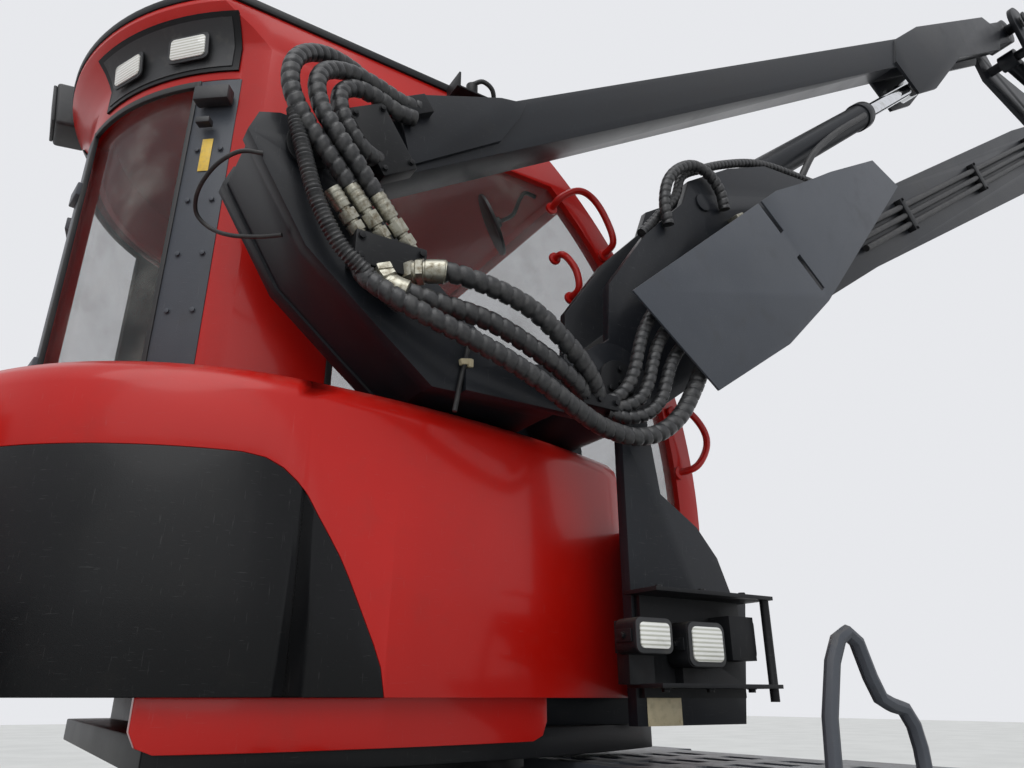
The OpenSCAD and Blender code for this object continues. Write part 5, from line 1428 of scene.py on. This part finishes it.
def make_rollers():
    """Motor cover and teeth of each feed roller."""
    for _, key in SIDES:
        name = f"feed_roller_{key}"
        low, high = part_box(name)
        middle = (low + high) / 2
        top = Vector((middle.x, middle.y, high.z))
        motor = Shape()
        motor.rod(top + UP * 0.004, top + UP * 0.020, 0.075, sides=32, bevel=0.004)
        motor.bolts(circle(top + UP * 0.019, 0.058, 6, second=-SIDE), UP, 0.006)
        motor.keep(f"roller_motor_{key}", name, "black")
        teeth = Shape()
        r = (high.x - low.x) / 2 - 0.012
        for row in range(6):
            centre = Vector((middle.x, middle.y, low.z + 0.04 + (high.z - low.z - 0.08) * row / 5))
            feet = circle(centre, r, 12, second=-SIDE)
            tips = circle(centre, r + 0.011, 12, second=-SIDE)
            for foot, tip in zip(feet, tips):
                teeth.rod(foot, tip, 0.011, 0.004, 6)
        teeth.keep(f"roller_teeth_{key}", name, "steel")


# Hood, roof lamps and wheels

HOOD_HALF = 0.65
# The hood's handle: out from the side, height
HOOD_HANDLE = [(0.0, 2.10), (0.028, 2.11), (0.034, 2.20), (0.028, 2.29), (0.0, 2.30)]
EXHAUST = [(-3.05, -0.36, 2.70), (-3.05, -0.36, 2.80), (-3.08, -0.36, 2.87), (-3.17, -0.36, 2.91)]
WIRE = 0.0025
# Lamps on the hood's rear: name, place's height, width, height, lens
HOOD_LAMPS = [
    ("tail_lamp", 1.62, 0.10, 0.16, "red_lens"), ("turn_lamp", 1.80, 0.10, 0.08, "amber"),
    ("rear_work_lamp", 1.95, 0.13, 0.10, "lens"),
]


def make_hood():
    dark = Shape()
    for side, _ in SIDES:
        for x in (-4.75, -4.1):
            dark.box((0.09, 0.014, 0.03), at(x, side * (HOOD_HALF + 0.004), 1.42), 0.003)
            knob = at(x, side * (HOOD_HALF + 0.006), 1.42)
            dark.rod(knob, knob + Vector((0, side * 0.012, 0)), 0.012, sides=16, bevel=0.002)
        dark.tube([at(-3.30, side * (HOOD_HALF + out), z) for out, z in HOOD_HANDLE], 0.009, 12, 0.008)
        dark.box((0.006, 0.003, 0.90), at(-3.62, side * (HOOD_HALF + 0.0002), 1.90), 0.001)
    dark.rod(at(-3.05, -0.36, 2.50), at(-3.05, -0.36, 2.74), 0.052, sides=32, bevel=0.003)
    dark.rod(at(-3.05, -0.36, 2.545), at(-3.05, -0.36, 2.565), 0.085, sides=32, bevel=0.004)
    dark.tube([at(*p) for p in EXHAUST], 0.047, 24, 0.012)
    dark.box((0.26, 0.20, 0.020), at(-3.05, 0.30, 2.560), 0.004)
    dark.keep("hood_fittings", "hood", "black")
    mesh = Shape()
    for side, _ in SIDES:
        for k in range(46):
            mesh.box((WIRE, WIRE, 0.48), at(-4.88 + 0.0204 * k, side * 0.628, 1.81), 0)
        for k in range(23):
            mesh.box((0.93, WIRE, WIRE), at(-4.425, side * 0.6255, 1.575 + 0.0209 * k), 0)
    mesh.keep("grille_mesh", "hood", "steel")
    for side, key in SIDES:
        for name, z, w, h, lens in HOOD_LAMPS:
            make_lamp(f"{name}_{key}", "hood", at(-5.121, side * 0.50, z), (-1, 0, 0), w, h, lens)


def make_roof_lamps():
    rail = Shape()
    rail.box((0.03, 1.10, 0.03), at(0.285, CAB_Y, 3.768), 0.004)
    for number, y in enumerate((-0.36, -0.14, 0.54, 0.76), 1):
        rail.box((0.09, 0.135, 0.105), at(0.300, y, 3.835), 0.018, segments=3)
        for fin in range(4):
            rail.box((0.003, 0.10, 0.08), at(0.238 + 0.007 * fin, y, 3.835), 0.0005)
        rail.rod(at(0.285, y, 3.765), at(0.285, y, 3.80), 0.010, sides=12)
        make_lamp(f"roof_lamp_{number}", "upper", at(0.345, y, 3.835), (1, 0, 0), 0.125, 0.095)
    rail.keep("roof_lamp_rail", "upper", "black")


def make_wheel_details():
    """A bolted hub cap and an air valve on each wheel."""
    for name in [n for n in frame["nodes"] if "_rim_" in n]:
        low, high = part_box(name)
        middle = (low + high) / 2
        side = 1 if middle.y > 0 else -1
        out = Vector((0, side, 0))
        r = (high.z - low.z) / 2
        face = middle.y + side * (high.y - low.y) / 2 * 0.12
        centre = Vector((middle.x, face + side * 0.085, middle.z))
        cap = Shape()
        cap.rod(centre, centre + out * 0.030, r * 0.22, sides=40, bevel=0.004)
        cap.bolts(circle(centre + out * 0.029, r * 0.165, 8), out, 0.010)
        valve = Vector((middle.x + r * 0.80, face + side * 0.02, middle.z))
        cap.rod(valve, valve + out * 0.06, 0.006, sides=10)
        cap.keep(name + "_cap", frame["nodes"][name]["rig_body"], "steel")


make_camera()
make_floor()
make_world()
make_suns()
bpy.context.scene.view_settings.view_transform = "Standard"
FINISH.update(make_finishes())
dress_nodes()
make_pillar_hoses()
make_loops()
make_clips()
make_corner_lamp()
make_pins()
make_shelf_lamps()
make_boom_hoses()
make_rear_window()
make_lamp_recess()
make_handles()
make_cab_fittings()
make_tyres()
make_seat()
make_screen()
make_crane_hoses()
make_line_clamps()
make_valve_block()
make_measuring_wheel()
make_saw_chain()
make_rollers()
make_hood()
make_roof_lamps()
make_wheel_details()
